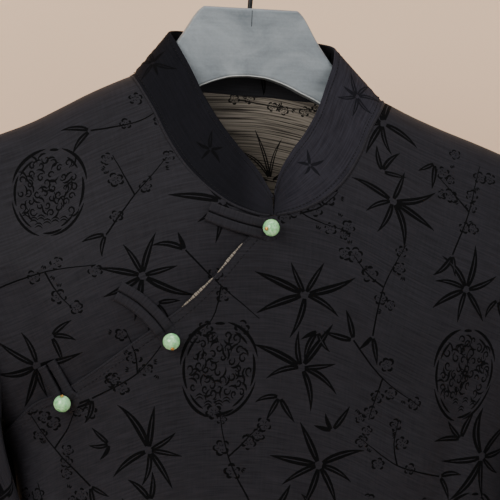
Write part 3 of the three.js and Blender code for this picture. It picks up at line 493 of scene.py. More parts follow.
placket_places = places(*place_of(placket[:, 0], placket[:, 1]))
main_outline = ring_of(
    placket_places, side_places(math.pi)[1:], hem_places(np.linspace(math.pi, 0, 90))[1:],
    side_places(0.0)[::-1][1:], armhole_places(1, ARM_RUNS)[::-1][1:], shoulder_places(1)[1:],
    neck_places(front_neck, 1, np.linspace(0, 1.03, 52))[1:-1],
)
tangent = unit(np.gradient(placket, axis=0))
part = np.linspace(0, 1, len(placket))
lap_reach = FLAP_LAP * np.minimum(1, (1 - part) * 4) * smooth_step(-0.02, 0.12, part)
lap = placket + np.stack([-tangent[:, 1], tangent[:, 0]], -1) * lap_reach[:, None]
under_outline = ring_of(
    shoulder_places(-1), neck_places(front_neck, -1, np.linspace(0, 1.16, 58))[1:],
    places(*place_of(lap[14:-1, 0], lap[14:-1, 1])), armhole_places(-1, ARM_RUNS)[::-1],
)
back_outline = ring_of(
    shoulder_places(-1), neck_places(back_neck, -1, np.linspace(0, 1, 26))[1:],
    neck_places(back_neck, 1, np.linspace(1, 0, 26))[1:], shoulder_places(1)[::-1][1:],
    armhole_places(1, ARM_RUNS)[1:], side_places(0.0)[1:], hem_places(np.linspace(0, math.pi, 90))[1:],
    side_places(math.pi)[::-1][1:], armhole_places(-1, ARM_RUNS)[::-1][1:-1],
)
print("outlines", len(main_outline), len(under_outline), len(back_outline))

# %% [markdown]
# The sleeves and the collar grow out of the body's edges. Each is a fine grid of points, read between its
# points as a surface of its own. A sleeve's first coordinate goes once round from the shoulder over the
# front, and a collar's goes from the right front round the back to the left front.


# %% Sleeves and collar as surfaces
def grid_function(grid, wrap):
    """A smooth-enough point for any place on a grid of points, with u and v from 0 to 1."""
    rows, columns = grid.shape[:2]

    def point(u, v):
        u, v = np.asarray(u, float), np.asarray(v, float)
        fu = (u % 1 if wrap else u) * (columns if wrap else columns - 1)
        fv = v * (rows - 1)
        i = np.floor(fu).astype(int)
        j = np.clip(np.floor(fv).astype(int), 0, rows - 2)
        if not wrap:
            i = np.clip(i, 0, columns - 2)
        a, b = (fu - i)[..., None], (fv - j)[..., None]
        i0, i1 = (i % columns, (i + 1) % columns) if wrap else (i, i + 1)
        top = grid[j, i0] * (1 - a) + grid[j, i1] * a
        low = grid[j + 1, i0] * (1 - a) + grid[j + 1, i1] * a
        return top * (1 - b) + low * b

    return point


sleeve_tables = {
    -1: [smooth_table(SLEEVE, k) for k in (1, 3, 4, 6, 7, 8)],
    1: [smooth_table(SLEEVE, k) for k in (2, 3, 5, 6, 7)] + [lambda along: 0.0],
}


def sleeve_grid(sign, rows=90):
    runs = ARM_RUNS
    front = cloth_point("front", *armhole_places(sign, runs).T)
    back = cloth_point("back", *armhole_places(sign, runs).T)
    ends = (front + back) / 2
    edge = np.concatenate([ends[:1], front[1:-1], ends[-1:], back[1:-1][::-1]])
    count = len(edge) // 2
    half = np.arccos(1 - 2 * runs / UNDERARM) / math.pi
    parts = np.r_[half, (2 - half)[1:-1][::-1]]
    tip = shoulder_line(sign * 186.0)
    pit = shoulder_line(sign * armhole_x(ARMHOLE_DEPTH, sign)) - ARMHOLE_DEPTH

    def tube(along):
        sizes = (float(table(along)) for table in sleeve_tables[sign])
        out_x, out_down, in_x, in_down, depth, ahead = sizes
        out = np.array([sign * out_x + SLIDE, 0, tip - out_down])
        inside = np.array([sign * in_x + SLIDE, -ahead, pit - in_down])
        blend = float(smooth_step(0, 0.3, along))
        angle = (parts * (1 - blend) + np.arange(len(edge)) / count * blend) * math.pi
        points = (out + inside) / 2 + (out - inside) * np.cos(angle)[:, None] / 2
        crease = 1.6 * np.sin(7 * along + 2 * angle) * float(smooth_step(0.1, 0.3, along))
        points[:, 1] -= 4 * (1 - along) + (depth + crease) * np.sin(angle)
        return points

    grid = []
    for along in np.linspace(0, 1, rows) ** 1.25:
        grid.append(tube(along) + (edge - tube(0)) * (1 - float(smooth_step(0, 0.3, along))))
    grid = np.array(grid)
    grid[0] += unit(grid[1] - grid[0]) * SEAM_GAP * 1.2
    return grid


def collar_grid(columns=241, rows=13):
    around = np.linspace(-1.015, 0.985, columns)
    edge = np.empty((columns, 3))
    ahead = np.abs(around) > 0.5
    for mask, side, neck in ((ahead, "front", front_neck), (~ahead, "back", back_neck)):
        for sign in (-1, 1):
            pick = mask & (np.sign(around) == sign) if sign < 0 else mask & (around >= 0)
            along = (np.abs(around[pick]) - 0.5) * 2 if side == "front" else (0.5 - np.abs(around[pick])) * 2
            edge[pick] = cloth_point(side, *neck_places(neck, sign, along).T)
    part = np.clip(around, -1, 1)
    top = np.stack([smooth_table(COLLAR, k)(part) for k in (1, 2, 3)], -1) + (SLIDE, 0, 0)
    grid = np.array([edge + (top - edge) * p for p in np.linspace(0, 1, rows)])
    grid[0] += unit(grid[1] - grid[0]) * SEAM_GAP * 1.4
    return grid


sleeve_surfaces = {
    side: Surface(grid_function(sleeve_grid(sign), True), sign, (220, 300), None, (0.004, 0.006))
    for side, sign in (("left", 1), ("right", -1))
}
collar_surface = Surface(grid_function(collar_grid(), False), -1, (400, 45), None, (0.003, 0.03))


# %% [markdown]
# The woven pattern is drawn here from a few kinds of stroke: bamboo leaves in fans, plum branches with
# five-petalled blossoms, and round medallions of curls and waves. One repeat is charted, a letter a cell,
# and what stands in each cell is made up by rule and chance.

# %% Chart of the pattern's repeat
# f: two fans of leaves, b: a branch with blossoms, o: a medallion
CHART = ["fbfbfb", "obfbfb", "bfbfbf", "fbofbo"]
CELL_WIDTH, CELL_HEIGHT, CHART_TOP = 54.0, 53.0, -106.0
MEDALLION_HALF = 25.0, 31.0
BLOSSOM_GAP = 6.5
random = np.random.default_rng(11)


# %% [markdown]
# A stroke is a closed outline. Each of its points has an anchor on the garment and an offset from it in the
# plane of the cloth, so that small shapes keep their form wherever they lie.

# %% Strokes
def stroke(points, widths):
    """The outline of a line with a width at each of its points."""
    points = np.asarray(points, float)
    ahead = unit(np.gradient(points, axis=0))
    beside = np.stack([-ahead[:, 1], ahead[:, 0]], -1) * (np.asarray(widths, float) / 2)[:, None]
    return np.concatenate([points + beside, (points - beside)[::-1]])


def at_anchor(anchor, outlines, level=1, on=True):
    """Outlines drawn about one anchor, as shapes of a level."""
    return [(level, on, np.tile(np.asarray(anchor, float), (len(o), 1)), o) for o in outlines]


def leaf(anchor, tip, share):
    """A pointed leaf from the anchor to the tip, a little curved; a long one has a vein of bare ground."""
    way = np.subtract(tip, anchor).astype(float)
    length = np.hypot(*way)
    t = np.linspace(0.085, 1, 9)
    side = np.array([-way[1], way[0]]) * random.uniform(-0.10, 0.10)
    line = way * t[:, None] + side * (t * (1 - t))[:, None] * 4
    widest = np.clip(share * length + 0.9, 1.2, 5.2)
    shapes = at_anchor(anchor, [stroke(line, widest * np.sin(math.pi * t**0.72) ** 0.9 + 0.25)])
    if length > 13:
        shapes += at_anchor(anchor, [stroke(line[1:7], [0.2, 0.5, 0.6, 0.55, 0.45, 0.2])], 2, False)
    return shapes


def twig(points, width):
    """A crooked branch through the points, thinner towards its end."""
    line = spline(points, 7 * len(points))
    line = line + np.cumsum(random.normal(0, 0.16, line.shape), axis=0) * 0.5
    outline = stroke(line, np.linspace(width, width * 0.45, len(line)))
    return 1, True, outline, np.zeros_like(outline)


def petals(anchor, radius):
    """Five petals, each a dark arc that breaks off, with a short fold inside, round a bare heart."""
    start = random.uniform(0, 2 * math.pi)
    outlines = []
    for k in range(5):
        angle = start + k * 2 * math.pi / 5 + random.uniform(-0.22, 0.22)
        middle = radius * random.uniform(0.5, 0.66) * np.array([math.cos(angle), math.sin(angle)])
        sweep_angles = angle + np.linspace(-random.uniform(0.7, 2.0), random.uniform(0.7, 2.0), 6)
        reach = radius * random.uniform(0.28, 0.46)
        arc = middle + reach * np.stack([np.cos(sweep_angles), 0.85 * np.sin(sweep_angles)], -1)
        swell = np.sin(np.linspace(0.15, 2.9, 6))
        outlines.append(stroke(arc, radius * (0.05 + random.uniform(0.2, 0.34) * swell)))
        bend = angle + random.uniform(-0.35, 0.35)
        ends = np.array([[0.2], [random.uniform(0.42, 0.6)]])
        fold = ends * radius * np.array([[math.cos(bend), math.sin(bend)]])
        outlines.append(stroke(fold, [random.uniform(0.25, 0.6), 0.3]))
    return at_anchor(anchor, outlines)


def bud(anchor):
    """A bud: two or three short strokes side by side."""
    heading = random.uniform(0, 2 * math.pi)
    outlines = []
    aside = np.array([-math.sin(heading), math.cos(heading)])
    for side in (-0.9, 0.1, 1.0):
        turn = heading + 0.35 * side
        ends = np.array([[0.2, 0], [1.3, 0.1], [2.5, 0]]) @ np.array(
            [[math.cos(turn), math.sin(turn)], [-math.sin(turn), math.cos(turn)]])
        outlines.append(stroke(ends + side * 0.7 * aside, [0.3, 1.0, 0.3]))
    return at_anchor(anchor, outlines)


def curl(middle, radius, start, turns, width):
    """A spiral stroke that thins towards its heart."""
    t = np.linspace(0, 1, 9)
    angle = start + turns * 2 * math.pi * t
    reach = radius * (1 - 0.78 * t)
    line = np.asarray(middle) + np.stack([reach * np.cos(angle), reach * np.sin(angle)], -1)
    return stroke(line, width * (0.35 + np.sin(math.pi * np.clip(t * 0.9 + 0.1, 0, 1))))


def medallion(x, z, half_x, half_z):
    """Crescents round the rim, curls inside, and rows of waves below."""
    shapes = []

    def add(outline):
        shapes.extend(at_anchor((x, z), [outline * (half_x, half_z)]))

    for first, last, reach, thick in (
        (104, 172, 0.97, 0.07), (160, 205, 0.88, 0.06), (198, 262, 0.97, 0.06), (-80, -12, 0.96, 0.055),
        (-20, 24, 0.88, 0.06), (18, 80, 0.97, 0.06), (128, 158, 0.84, 0.045), (40, 66, 0.84, 0.04),
        (214, 246, 0.86, 0.04), (268, 300, 0.9, 0.05), (-60, -34, 0.84, 0.04), (84, 98, 0.93, 0.05),
    ):
        angle = np.radians(np.linspace(first, last, 9))
        swell = np.sin(np.linspace(0, math.pi, 9)) ** 0.6
        line = reach * np.stack([np.cos(angle), np.sin(angle)], -1)
        add(stroke(line, thick * swell + 0.012))
    spots = []
    for _ in range(900):
        spot = random.uniform(-0.78, 0.78, 2)
        if np.hypot(*spot) < 0.76 and all(np.hypot(*(spot - other)) > 0.18 for other in spots):
            spots.append(spot)
    for spot in spots:
        if spot[1] < -0.52:
            for row in range(2):
                t = np.linspace(-1, 1, 5)
                rise = 0.055 * np.cos(t * math.pi * 0.5) + (row - 1) * 0.06
                add(stroke(spot + np.stack([0.105 * t, rise], -1), 0.026 * (1.1 - t**2) + 0.006))
        else:
            turns = random.choice([-1, 1]) * random.uniform(0.8, 1.15)
            add(curl(spot, random.uniform(0.08, 0.12), random.uniform(0, 6.3), turns, 0.031))
            t = np.linspace(0, 1, 5)
            away = random.uniform(0, 2 * math.pi)
            bend = np.stack([np.cos(away + 1.6 * t), np.sin(away + 1.6 * t)], -1)
            add(stroke(spot + 0.12 * bend + 0.09 * t[:, None] * bend, 0.042 * np.sin(math.pi * t) + 0.008))
    return shapes


def point_from(place, heading, reach):
    """The point at a heading in degrees and a distance from a place."""
    angle = math.radians(heading)
    return np.asarray(place, float) + (reach * math.cos(angle), reach * math.sin(angle))


def fan(joint, heading, spread, count, length, share=0.11):
    """Leaves from one joint, spread about a heading and uneven in length."""
    shapes = []
    for k in range(count):
        way = heading + spread * (k / (count - 1) - 0.5) + random.uniform(-7, 7)
        shapes += leaf(joint, point_from(joint, way, length * random.uniform(0.55, 1)), share)
    return shapes


def apart(spot, others):
    return all(np.hypot(*(spot - other)) > BLOSSOM_GAP for other in others)


def cluster(place, others):
    """A blossom, often with a second one or a few buds beside it."""
    shapes = petals(place, random.uniform(3.9, 5.4))
    for _ in range(random.integers(0, 3)):
        beside = place + random.uniform(5.5, 8.5) * unit(random.normal(size=2))
        if apart(beside, [other for other in others if other is not place]):
            shapes += petals(beside, random.uniform(3.2, 4.4)) if random.random() < 0.4 else bud(beside)
    return shapes


def fan_cell(centre):
    """A wide fan, and a small one beside it."""
    joint = centre + random.uniform(-6, 6, 2)
    heading = random.uniform(0, 360)
    small = point_from(joint, heading + 180, random.uniform(19, 25))
    return fan(joint, heading, 270, 7, 36) + fan(small, heading + random.uniform(90, 270), 110, 3, 21, 0.14)


def branch_cell(centre, blossoms):
    """A bent branch with a side twig and a leaf or two. Its blossoms join the list."""
    heading = random.uniform(15, 75) * random.choice([-1, 1])
    bend = point_from(centre, heading + 90, random.uniform(-9, 9))
    start, end = point_from(centre, heading + 180, 31), point_from(centre, heading, 31)
    tip = point_from(bend, heading + random.choice([-65, 65]), 28)
    lines = [(start, bend, end), (bend, (bend + tip) / 2 + random.uniform(-3, 3, 2), tip)]
    for line, count in zip(lines, (3, 2)):
        for spot in spline(line, count + 1)[1:] + random.normal(0, 3.2, (count, 2)):
            if apart(spot, blossoms):
                blossoms.append(spot)
    return [twig(line, 1.15) for line in lines] + fan(start, heading + 180, 60, 2, 22, 0.14)


def whole_pattern():
    """Every stroke of one repeat: level, pattern or bare ground, anchors and offsets."""
    shapes, blossoms = [], []
    for row, cells in enumerate(CHART):
        for column, kind in enumerate(cells):
            middle = (column - (len(cells) - 1) / 2) * CELL_WIDTH
            centre = np.array([middle, CHART_TOP - (row + 0.5) * CELL_HEIGHT])
            if kind == "o":
                shapes += medallion(*centre, *MEDALLION_HALF)
            else:
                shapes += fan_cell(centre) if kind == "f" else branch_cell(centre, blossoms)
    for place in blossoms:
        shapes += cluster(place, blossoms)
    return shapes


# %% [markdown]
# The same drawing is laid on the other pieces, moved and mirrored, as the cloth's repeat would bring it.

# %% Laying the pattern on the pieces
def laid(surface, spot, shapes, move=(0, 0), mirror=1, keep=None):
    """Shapes on a surface. The spot function turns garment millimetres into the surface's coordinates."""
    found = []
    for level, on, anchors, offsets in shapes:
        at = anchors * (mirror, 1) + move
        uv, valid = spot(at[:, 0], at[:, 1])
        if valid.all() and (keep is None or keep(at)):
            found.append((level, on, surface.lay(uv, offsets * (mirror, 1))))
    return found


def on_body(sign):
    def spot(x, z):
        down = shoulder_line(sign * x) - z
        cosine = sign * x / half_width(down, sign * x)
        uv = np.stack([np.arccos(np.clip(cosine, -1, 1)), run_of(down)], -1)
        return uv, (np.abs(cosine) < 0.985) & (down > 14)
    return spot


def on_sleeve(sign):
    """The sleeve's flat cloth: x from the middle of its front, towards the outer edge at positive x."""
    def spot(x, z):
        v = (-z - 150) / 330
        around = 0.25 - sign * x / (200 - 70 * np.clip(v, 0, 1))
        return np.stack([around, v], -1), (v > 0.02) & (v < 0.985) & (np.abs(around) < 0.485)
    return spot


def on_collar(x, z):
    """The collar's band laid flat: x along it in hundredths, z up it in hundredths."""
    return np.stack([x / 100, z / 100], -1), (x > 1) & (x < 99)


drawing = whole_pattern()
front_spot, back_spot = on_body(1), on_body(-1)
repeats = [((0, 0), 1), ((12, -212), -1), ((-4, -424), 1)]
main_pattern = [s for move, mirror in repeats for s in laid(front_surface, front_spot, drawing, move, mirror)]
under_pattern = laid(under_surface, front_spot, drawing)
# The reverse of the back shows through the neck, where it has a fan and a plum branch of its own
NECK_TWIG = [(-10, -118), (18, -121), (46, -122)]
neck_shapes = fan((15, -170), 95, 150, 6, 38, 0.036) + [twig(NECK_TWIG, 0.9)]
for place in spline(NECK_TWIG, 6) + random.normal(0, 2.5, (6, 2)):
    neck_shapes += petals(place, 3.6) + bud(place + (5.5, 1))


def below_neck(at):
    return (np.abs(at[:, 0]) > 66).all() or (at[:, 1] < -196).all()


def from_front(x, z):
    down = shoulder_line(x) - z
    return np.stack([np.arccos(np.clip(x / half_width(down, x), -1, 1)), run_of(down)], -1), down > 20


back_pattern = [s for move, mirror in (((8, 35), -1), ((-10, -180), 1), ((0, -395), -1))
                for s in laid(back_surface, back_spot, drawing, move, mirror, below_neck)]
back_pattern += laid(back_surface, from_front, [(l, on, a, o * (-1, 1)) for l, on, a, o in neck_shapes])
sleeve_pattern = {
    side: [s for move, mirror in (((25, 0), 1), ((-12, -150), -1), ((40, -300), 1))
           for s in laid(sleeve_surfaces[side], on_sleeve(sign), drawing, move, mirror)]
    for side, sign in (("left", 1), ("right", -1))
}
# Fans on the collar: hundredths along and up the band, leaves, and the longest leaf in millimetres
COLLAR_FANS = [
    (10, 55, 5, 14), (24, 45, 6, 17), (38, 55, 6, 16), (52, 45, 6, 17), (66, 55, 6, 16), (80, 45, 7, 20),
    (93, 60, 5, 13),
]
collar_shapes = []
for along, up, leaves, longest in COLLAR_FANS:
    for level, on, anchors, offsets in fan((0, 0), random.uniform(0, 360), 290, leaves, longest):
        collar_shapes.append((level, on, anchors + (along, up), offsets))
collar_pattern = laid(collar_surface, on_collar, collar_shapes, (0, 0), 1)
print("strokes", len(drawing), "front", len(main_pattern), "back", len(back_pattern))


# %% [markdown]
# Materials are node trees written as plain arithmetic. Every number that varies over a surface feeds only
# its colour, roughness, metal or bump.


# %% Shader helpers
class Wire:
    """A value in a node tree that can be added, subtracted and multiplied."""

    def __init__(self, shader, socket):
        self.shader, self.socket = shader, socket

    def math(self, operation, *others):
        return self.shader.node("ShaderNodeMath", dict(enumerate([self, *others])), operation=operation)

    def __add__(self, other):
        return self.math("ADD", other)

    def __mul__(self, other):
        return self.math("MULTIPLY", other)

    def __sub__(self, other):
        return self.math("SUBTRACT", other)

    def __rsub__(self, other):
        return self * -1 + other

    __radd__, __rmul__ = __add__, __mul__

    def ramp(self, low, high):
        return self.shader.node("ShaderNodeMapRange", {0: self, 1: low, 2: high}, clamp=True)


class Shader:
    def __init__(self, name):
        self.material = bpy.data.materials.new(name)
        self.material.use_nodes = True
        self.tree = self.material.node_tree
        self.surface = self.tree.nodes["Principled BSDF"]

    def node(self, kind, inputs=None, output=0, **settings):
        made = self.tree.nodes.new(kind)
        for key, value in settings.items():
            setattr(made, key, value)
        for key, value in (inputs or {}).items():
            if isinstance(value, Wire):
                self.tree.links.new(value.socket, made.inputs[key])
            else:
                made.inputs[key].default_value = value
        return Wire(self, made.outputs[output])

    def place(self, scale=(1, 1, 1), uv=None):
        if uv:
            at = self.node("ShaderNodeUVMap", uv_map=uv)
        else:
            at = self.node("ShaderNodeTexCoord", output="Object")
        return self.node("ShaderNodeMapping", {"Vector": at, "Scale": scale})

    def noise(self, at, scale, detail=3.0, rough=0.55, distortion=0.0):
        values = {"Vector": at, "Scale": scale, "Detail": detail, "Roughness": rough, "Distortion": distortion}
        return self.node("ShaderNodeTexNoise", values, noise_dimensions="3D")

    def threads(self, at, scale, direction):
        values = {"Vector": at, "Scale": scale, "Distortion": 0.4, "Detail": 1.0, "Detail Scale": 2.0}
        return self.node("ShaderNodeTexWave", values, output=1, bands_direction=direction, wave_profile="SIN")

    def mix(self, factor, first, second):
        values = {0: factor, 6: first, 7: second}
        return self.node("ShaderNodeMix", values, output=2, data_type="RGBA")

    def bump(self, height, strength, distance, under=None):
        values = {"Height": height, "Strength": strength, "Distance": distance}
        if under is not None:
            values["Normal"] = under
        return self.node("ShaderNodeBump", values)

    def finish(self, **sockets):
        for name, value in sockets.items():
            socket = self.surface.inputs[name.replace("_", " ")]
            if isinstance(value, Wire):
                self.tree.links.new(value.socket, socket)
            else:
                socket.default_value = value
        return self.material


def rgb(red, green, blue):
    """A linear colour from its usual 0 to 255 numbers."""
    parts = [c / 255 for c in (red, green, blue)]
    return (*[c / 12.92 if c <= 0.04045 else ((c + 0.055) / 1.055) ** 2.4 for c in parts], 1.0)


# %% [markdown]
# The cloth: a fine satin ground with a faint slub across it, a matt black pattern, and a taupe reverse on
# which the weft shows as uneven lines.


# %% Cloth materials
def cloth_material(name, dark, light, roughness, slub, sheen, left=None, gloss=0.16, lines=0.0):
    s = Shader(name)
    flat = s.place(uv="cloth")
    weft = s.noise(s.place((60, 900, 1), uv="cloth"), 1.0, 2.0)
    warp = s.noise(s.place((900, 60, 1), uv="cloth"), 1.0, 2.0)
    cloud = s.noise(s.place((14, 14, 14)), 1.0, 3.0)
    grain = s.noise(flat, 1400.0, 2.0)
    threads = s.threads(flat, 420.0, "X") * s.threads(flat, 480.0, "Y")
    tone = weft.ramp(0.34, 0.68) * slub + warp.ramp(0.3, 0.75) * (0.4 * slub) + cloud * 0.3 + grain * 0.25
    if lines:
        coarse = s.noise(s.place((30, 1200, 1), uv="cloth"), 1.0, 1.5)
        tone = (coarse.ramp(0.38, 0.62) * 1.1 + weft.ramp(0.34, 0.66) * 0.6 + grain * 0.25) * (0.6 * lines)
    colour = s.mix(tone.ramp(0.15, 0.85), dark, light)
    # Where tones for the other side are given, the side at positive x (the wearer's left) takes them as painted
    # light, and the side at negative x keeps the darker tones as painted shade.
    if left:
        across = s.node("ShaderNodeSeparateXYZ", {0: s.place()})
        colour = s.mix(across.ramp(-0.01, 0.03), colour, s.mix(tone.ramp(0.15, 0.85), *left))
    fine = s.bump(threads, 0.12, 0.0002)
    bump = s.bump(weft + warp * 0.6, 0.10, 0.0004, fine)
    return s.finish(
        Base_Color=colour, Roughness=roughness + (grain - 0.5) * 0.25, Normal=bump,
        Sheen_Weight=sheen, Sheen_Roughness=0.45, Specular_IOR_Level=gloss,
    )


ground = cloth_material("cloth ground", rgb(20, 19, 23), rgb(36, 35, 40), 0.62, 0.5, 0.02, gloss=0.1)
# The collar's ground is painted in two tones: painted light on the wearer's left and painted shade on the
# wearer's right, which is darker than the body's cloth.
COLLAR_PAINTED_LIT_GROUND = rgb(26, 25, 30), rgb(44, 43, 50)
pattern = cloth_material("cloth pattern", rgb(4, 4, 5), rgb(9, 9, 11), 0.8, 0.3, 0.0, gloss=0.06)
reverse = cloth_material("cloth reverse", rgb(38, 34, 31), rgb(140, 132, 121), 0.85, 1.2, 0.0, lines=1.0)
reverse_pattern = cloth_material("cloth reverse pattern", rgb(10, 9, 9), rgb(24, 22, 21), 0.8, 0.8, 0.0)
painted_light_shade_collar_ground = cloth_material("collar ground painted light and shade", rgb(10, 10, 14), rgb(19, 19, 24), 0.7, 0.5, 0.0,
                           left=COLLAR_PAINTED_LIT_GROUND, gloss=0.05)
inner_band = cloth_material("collar lining", rgb(16, 16, 18), rgb(32, 32, 36), 0.75, 0.5, 0.03)
CLOTH = [ground, pattern, reverse, reverse_pattern]
# The collar's pattern has the same painted light on the wearer's left and painted shade on the wearer's right.
COLLAR_PAINTED_LIT_PATTERN = rgb(15, 15, 19), rgb(24, 24, 29)
painted_light_shade_collar_pattern = cloth_material("collar pattern painted light and shade", rgb(5, 5, 7), rgb(10, 10, 12), 0.8, 0.3, 0.0,
                                      left=COLLAR_PAINTED_LIT_PATTERN, gloss=0.05)
COLLAR_CLOTH = [painted_light_shade_collar_ground, painted_light_shade_collar_pattern, inner_band, pattern]
thread = cloth_material("sewing thread", rgb(8, 8, 10), rgb(18, 18, 21), 0.7, 0.4, 0.0)


# %% [markdown]
# Jade with soft clouds of paler and deeper green, brushed gold wire, a grey hanger with fine cloudy
# brushing, and satin black wire for its hook.


# %% Button and hanger materials
def jade_material():
    s = Shader("jade")
    cloud = s.noise(s.place((260, 260, 260)), 1.0, 4.0, 0.6, 0.8)
    vein = s.noise(s.place((700, 500, 300)), 1.0, 2.0)
    colour = s.mix((cloud + vein * 0.4).ramp(0.45, 0.95), rgb(96, 178, 112), rgb(198, 246, 192))
    return s.finish(
        Base_Color=colour, Roughness=0.16 + cloud * 0.12, Subsurface_Weight=0.25,
        Subsurface_Radius=(0.002, 0.003, 0.002), Subsurface_Scale=0.5, Coat_Weight=0.4, Coat_Roughness=0.08,
    )


def gold_material():
    s = Shader("gold")
    worn = s.noise(s.place((900, 900, 900)), 1.0, 3.0)
    colour = s.mix(worn.ramp(0.35, 0.75), rgb(176, 126, 62), rgb(222, 182, 110))
    return s.finish(Base_Color=colour, Metallic=1.0, Roughness=0.22 + worn * 0.15)


def hanger_material(name, dark, light):
    s = Shader(name)
    streak = s.noise(s.place((30, 30, 520)), 1.0, 4.0, 0.65)
    cloud = s.noise(s.place((26, 26, 40)), 1.0, 4.0, 0.6, 0.6)
    speck = s.noise(s.place((700, 700, 700)), 1.0, 2.0)
    tone = streak * 0.2 + cloud * 1.0 + speck * 0.15
    colour = s.mix(tone.ramp(0.4, 0.95), dark, light)
    return s.finish(
        Base_Color=colour, Metallic=0.15, Roughness=0.38 + cloud * 0.25,
        Normal=s.bump(streak + speck * 0.4, 0.12, 0.0003),
    )


def hook_material():
    s = Shader("hook black")
    wear = s.noise(s.place((400, 400, 400)), 1.0, 3.0)
    colour = s.mix(wear.ramp(0.4, 0.8), rgb(14, 14, 15), rgb(36, 35, 34))
    return s.finish(Base_Color=colour, Metallic=0.6, Roughness=0.3 + wear * 0.25)


jade, gold, hook_black = jade_material(), gold_material(), hook_material()
hanger_grey = hanger_material("hanger grey", rgb(96, 104, 110), rgb(152, 160, 165))
# Painted shade: a dark grey for the thin line above the hanger's lower edge.
painted_shade_grey = hanger_material("hanger painted shade", rgb(58, 63, 67), rgb(84, 90, 94))
# A painted highlight: a light grey for the thin bevel along the hanger's lower edge.
painted_highlight_grey = hanger_material("hanger painted highlight", rgb(176, 182, 184), rgb(214, 218, 218))


# %% [markdown]
# The sheets of the top. Their reverse shows through the neck, at the hem and at the cuffs.

# %% Cloth pieces
THICK = 1.0
spacing = 6.0
front_main = sheet_object("cloth_front_main", front_surface, main_outline, main_pattern, spacing, THICK, CLOTH)
front_under = sheet_object(
    "cloth_front_under", under_surface, under_outline, under_pattern, spacing, THICK, CLOTH)
back = sheet_object("cloth_back", back_surface, back_outline, back_pattern, spacing, THICK, CLOTH)


def rectangle(u0, u1, v0, v1, count_u, count_v):
    us, vs = np.linspace(u0, u1, count_u), np.linspace(v0, v1, count_v)
    return np.concatenate([
        np.stack([us, np.full(count_u, v0)], 1), np.stack([np.full(count_v - 1, u1), vs[1:]], 1),
        np.stack([us[::-1][1:], np.full(count_u - 1, v1)], 1),
        np.stack([np.full(count_v - 2, u0), vs[::-1][1:-1]], 1),
    ])


sleeves = {}
for side, surface in sleeve_surfaces.items():
    surface_outline = rectangle(-0.4995, 0.4995, 0, 1, 91, 75)
    sleeves[side] = sheet_object(
        f"cloth_sleeve_{side}", surface, surface_outline, sleeve_pattern[side], spacing, THICK, CLOTH)
collar = sheet_object(
    "cloth_collar", collar_surface, rectangle(0, 1, 0, 1, 201, 15), collar_pattern, 3.5, 1.3, COLLAR_CLOTH)

# %% [markdown]
# Everything else that is long and even is a section swept along a line on the cloth.


# %% Swept pieces
def sweep(name, path, up, section, material, closed=False, size=None):
    """Sweeps a section of (across, up) millimetres along the path, tapered by size."""
    path = np.asarray(path, float)
    steps = np.roll(path, -1, axis=0) - np.roll(path, 1, axis=0) if closed else np.gradient(path, axis=0)
    ahead = unit(steps)
    up = unit(up - ahead * (up * ahead).sum(-1, keepdims=True))
    across = np.cross(ahead, up)
    section = np.asarray(section, float)
    size = np.ones(len(path)) if size is None else size
    offsets = across[:, None] * section[:, 0:1] + up[:, None] * section[:, 1:2]
    rings = path[:, None] + offsets * size[:, None, None]
    count, sides = rings.shape[:2]
    faces = []
    for k in range(count if closed else count - 1):
        for i in range(sides):
            a, b = k * sides + i, k * sides + (i + 1) % sides
            c, d = (k + 1) % count * sides + (i + 1) % sides, (k + 1) % count * sides + i
            faces.append((a, b, c, d))
    if not closed:
        faces += [tuple(range(sides))[::-1], tuple(range((count - 1) * sides, count * sides))]
    mesh = bpy.data.meshes.new(name)
    mesh.from_pydata((rings.reshape(-1, 3) / 1000).tolist(), [], faces)
    walked = np.r_[0, np.cumsum(np.linalg.norm(np.diff(path, axis=0), axis=1))]
    layer = mesh.uv_layers.new(name="cloth")
    corner = np.zeros(len(mesh.loops), np.int32)
    mesh.loops.foreach_get("vertex_index", corner)
    uv = np.stack([section[corner % sides, 0], walked[corner // sides]], 1) / 1000
    layer.uv.foreach_set("vector", uv.astype(np.float32).ravel())
    work = bmesh.new()
    work.from_mesh(mesh)
    bmesh.ops.recalc_face_normals(work, faces=work.faces)
    work.to_mesh(mesh)
    work.free()
    mesh.polygons.foreach_set("use_smooth", np.array([len(p.vertices) == 4 for p in mesh.polygons]))
    mesh.materials.append(material)
    return linked(name, mesh)


def round_section(radius, sides=10, flat=1.0):
    angles = np.arange(sides) * 2 * math.pi / sides
    return np.stack([radius * np.cos(angles), flat * radius * np.sin(angles)], -1)


def path_on(surface, uv, height):
    return surface.point(uv) + surface.normal(uv) * height, surface.normal(uv)


# %% [markdown]
# Seams: a narrow rolled edge along the placket, the collar's seam and its top edge, and sunk rolls that
# close the shoulder, side and armhole seams. The hem and the cuffs end in a turned edge.

# %% Rolled edges and seams
def seam_on(name, surface, uv, height, radius, material, closed=False):
    path, up = path_on(surface, uv, height)
    return sweep(name, path, up, round_section(radius, 8, 0.85), material, closed)


def across_at(v, start=0.004, end=0.996, count=320):
    return np.stack([np.linspace(start, end, count), np.full(count, v)], -1)


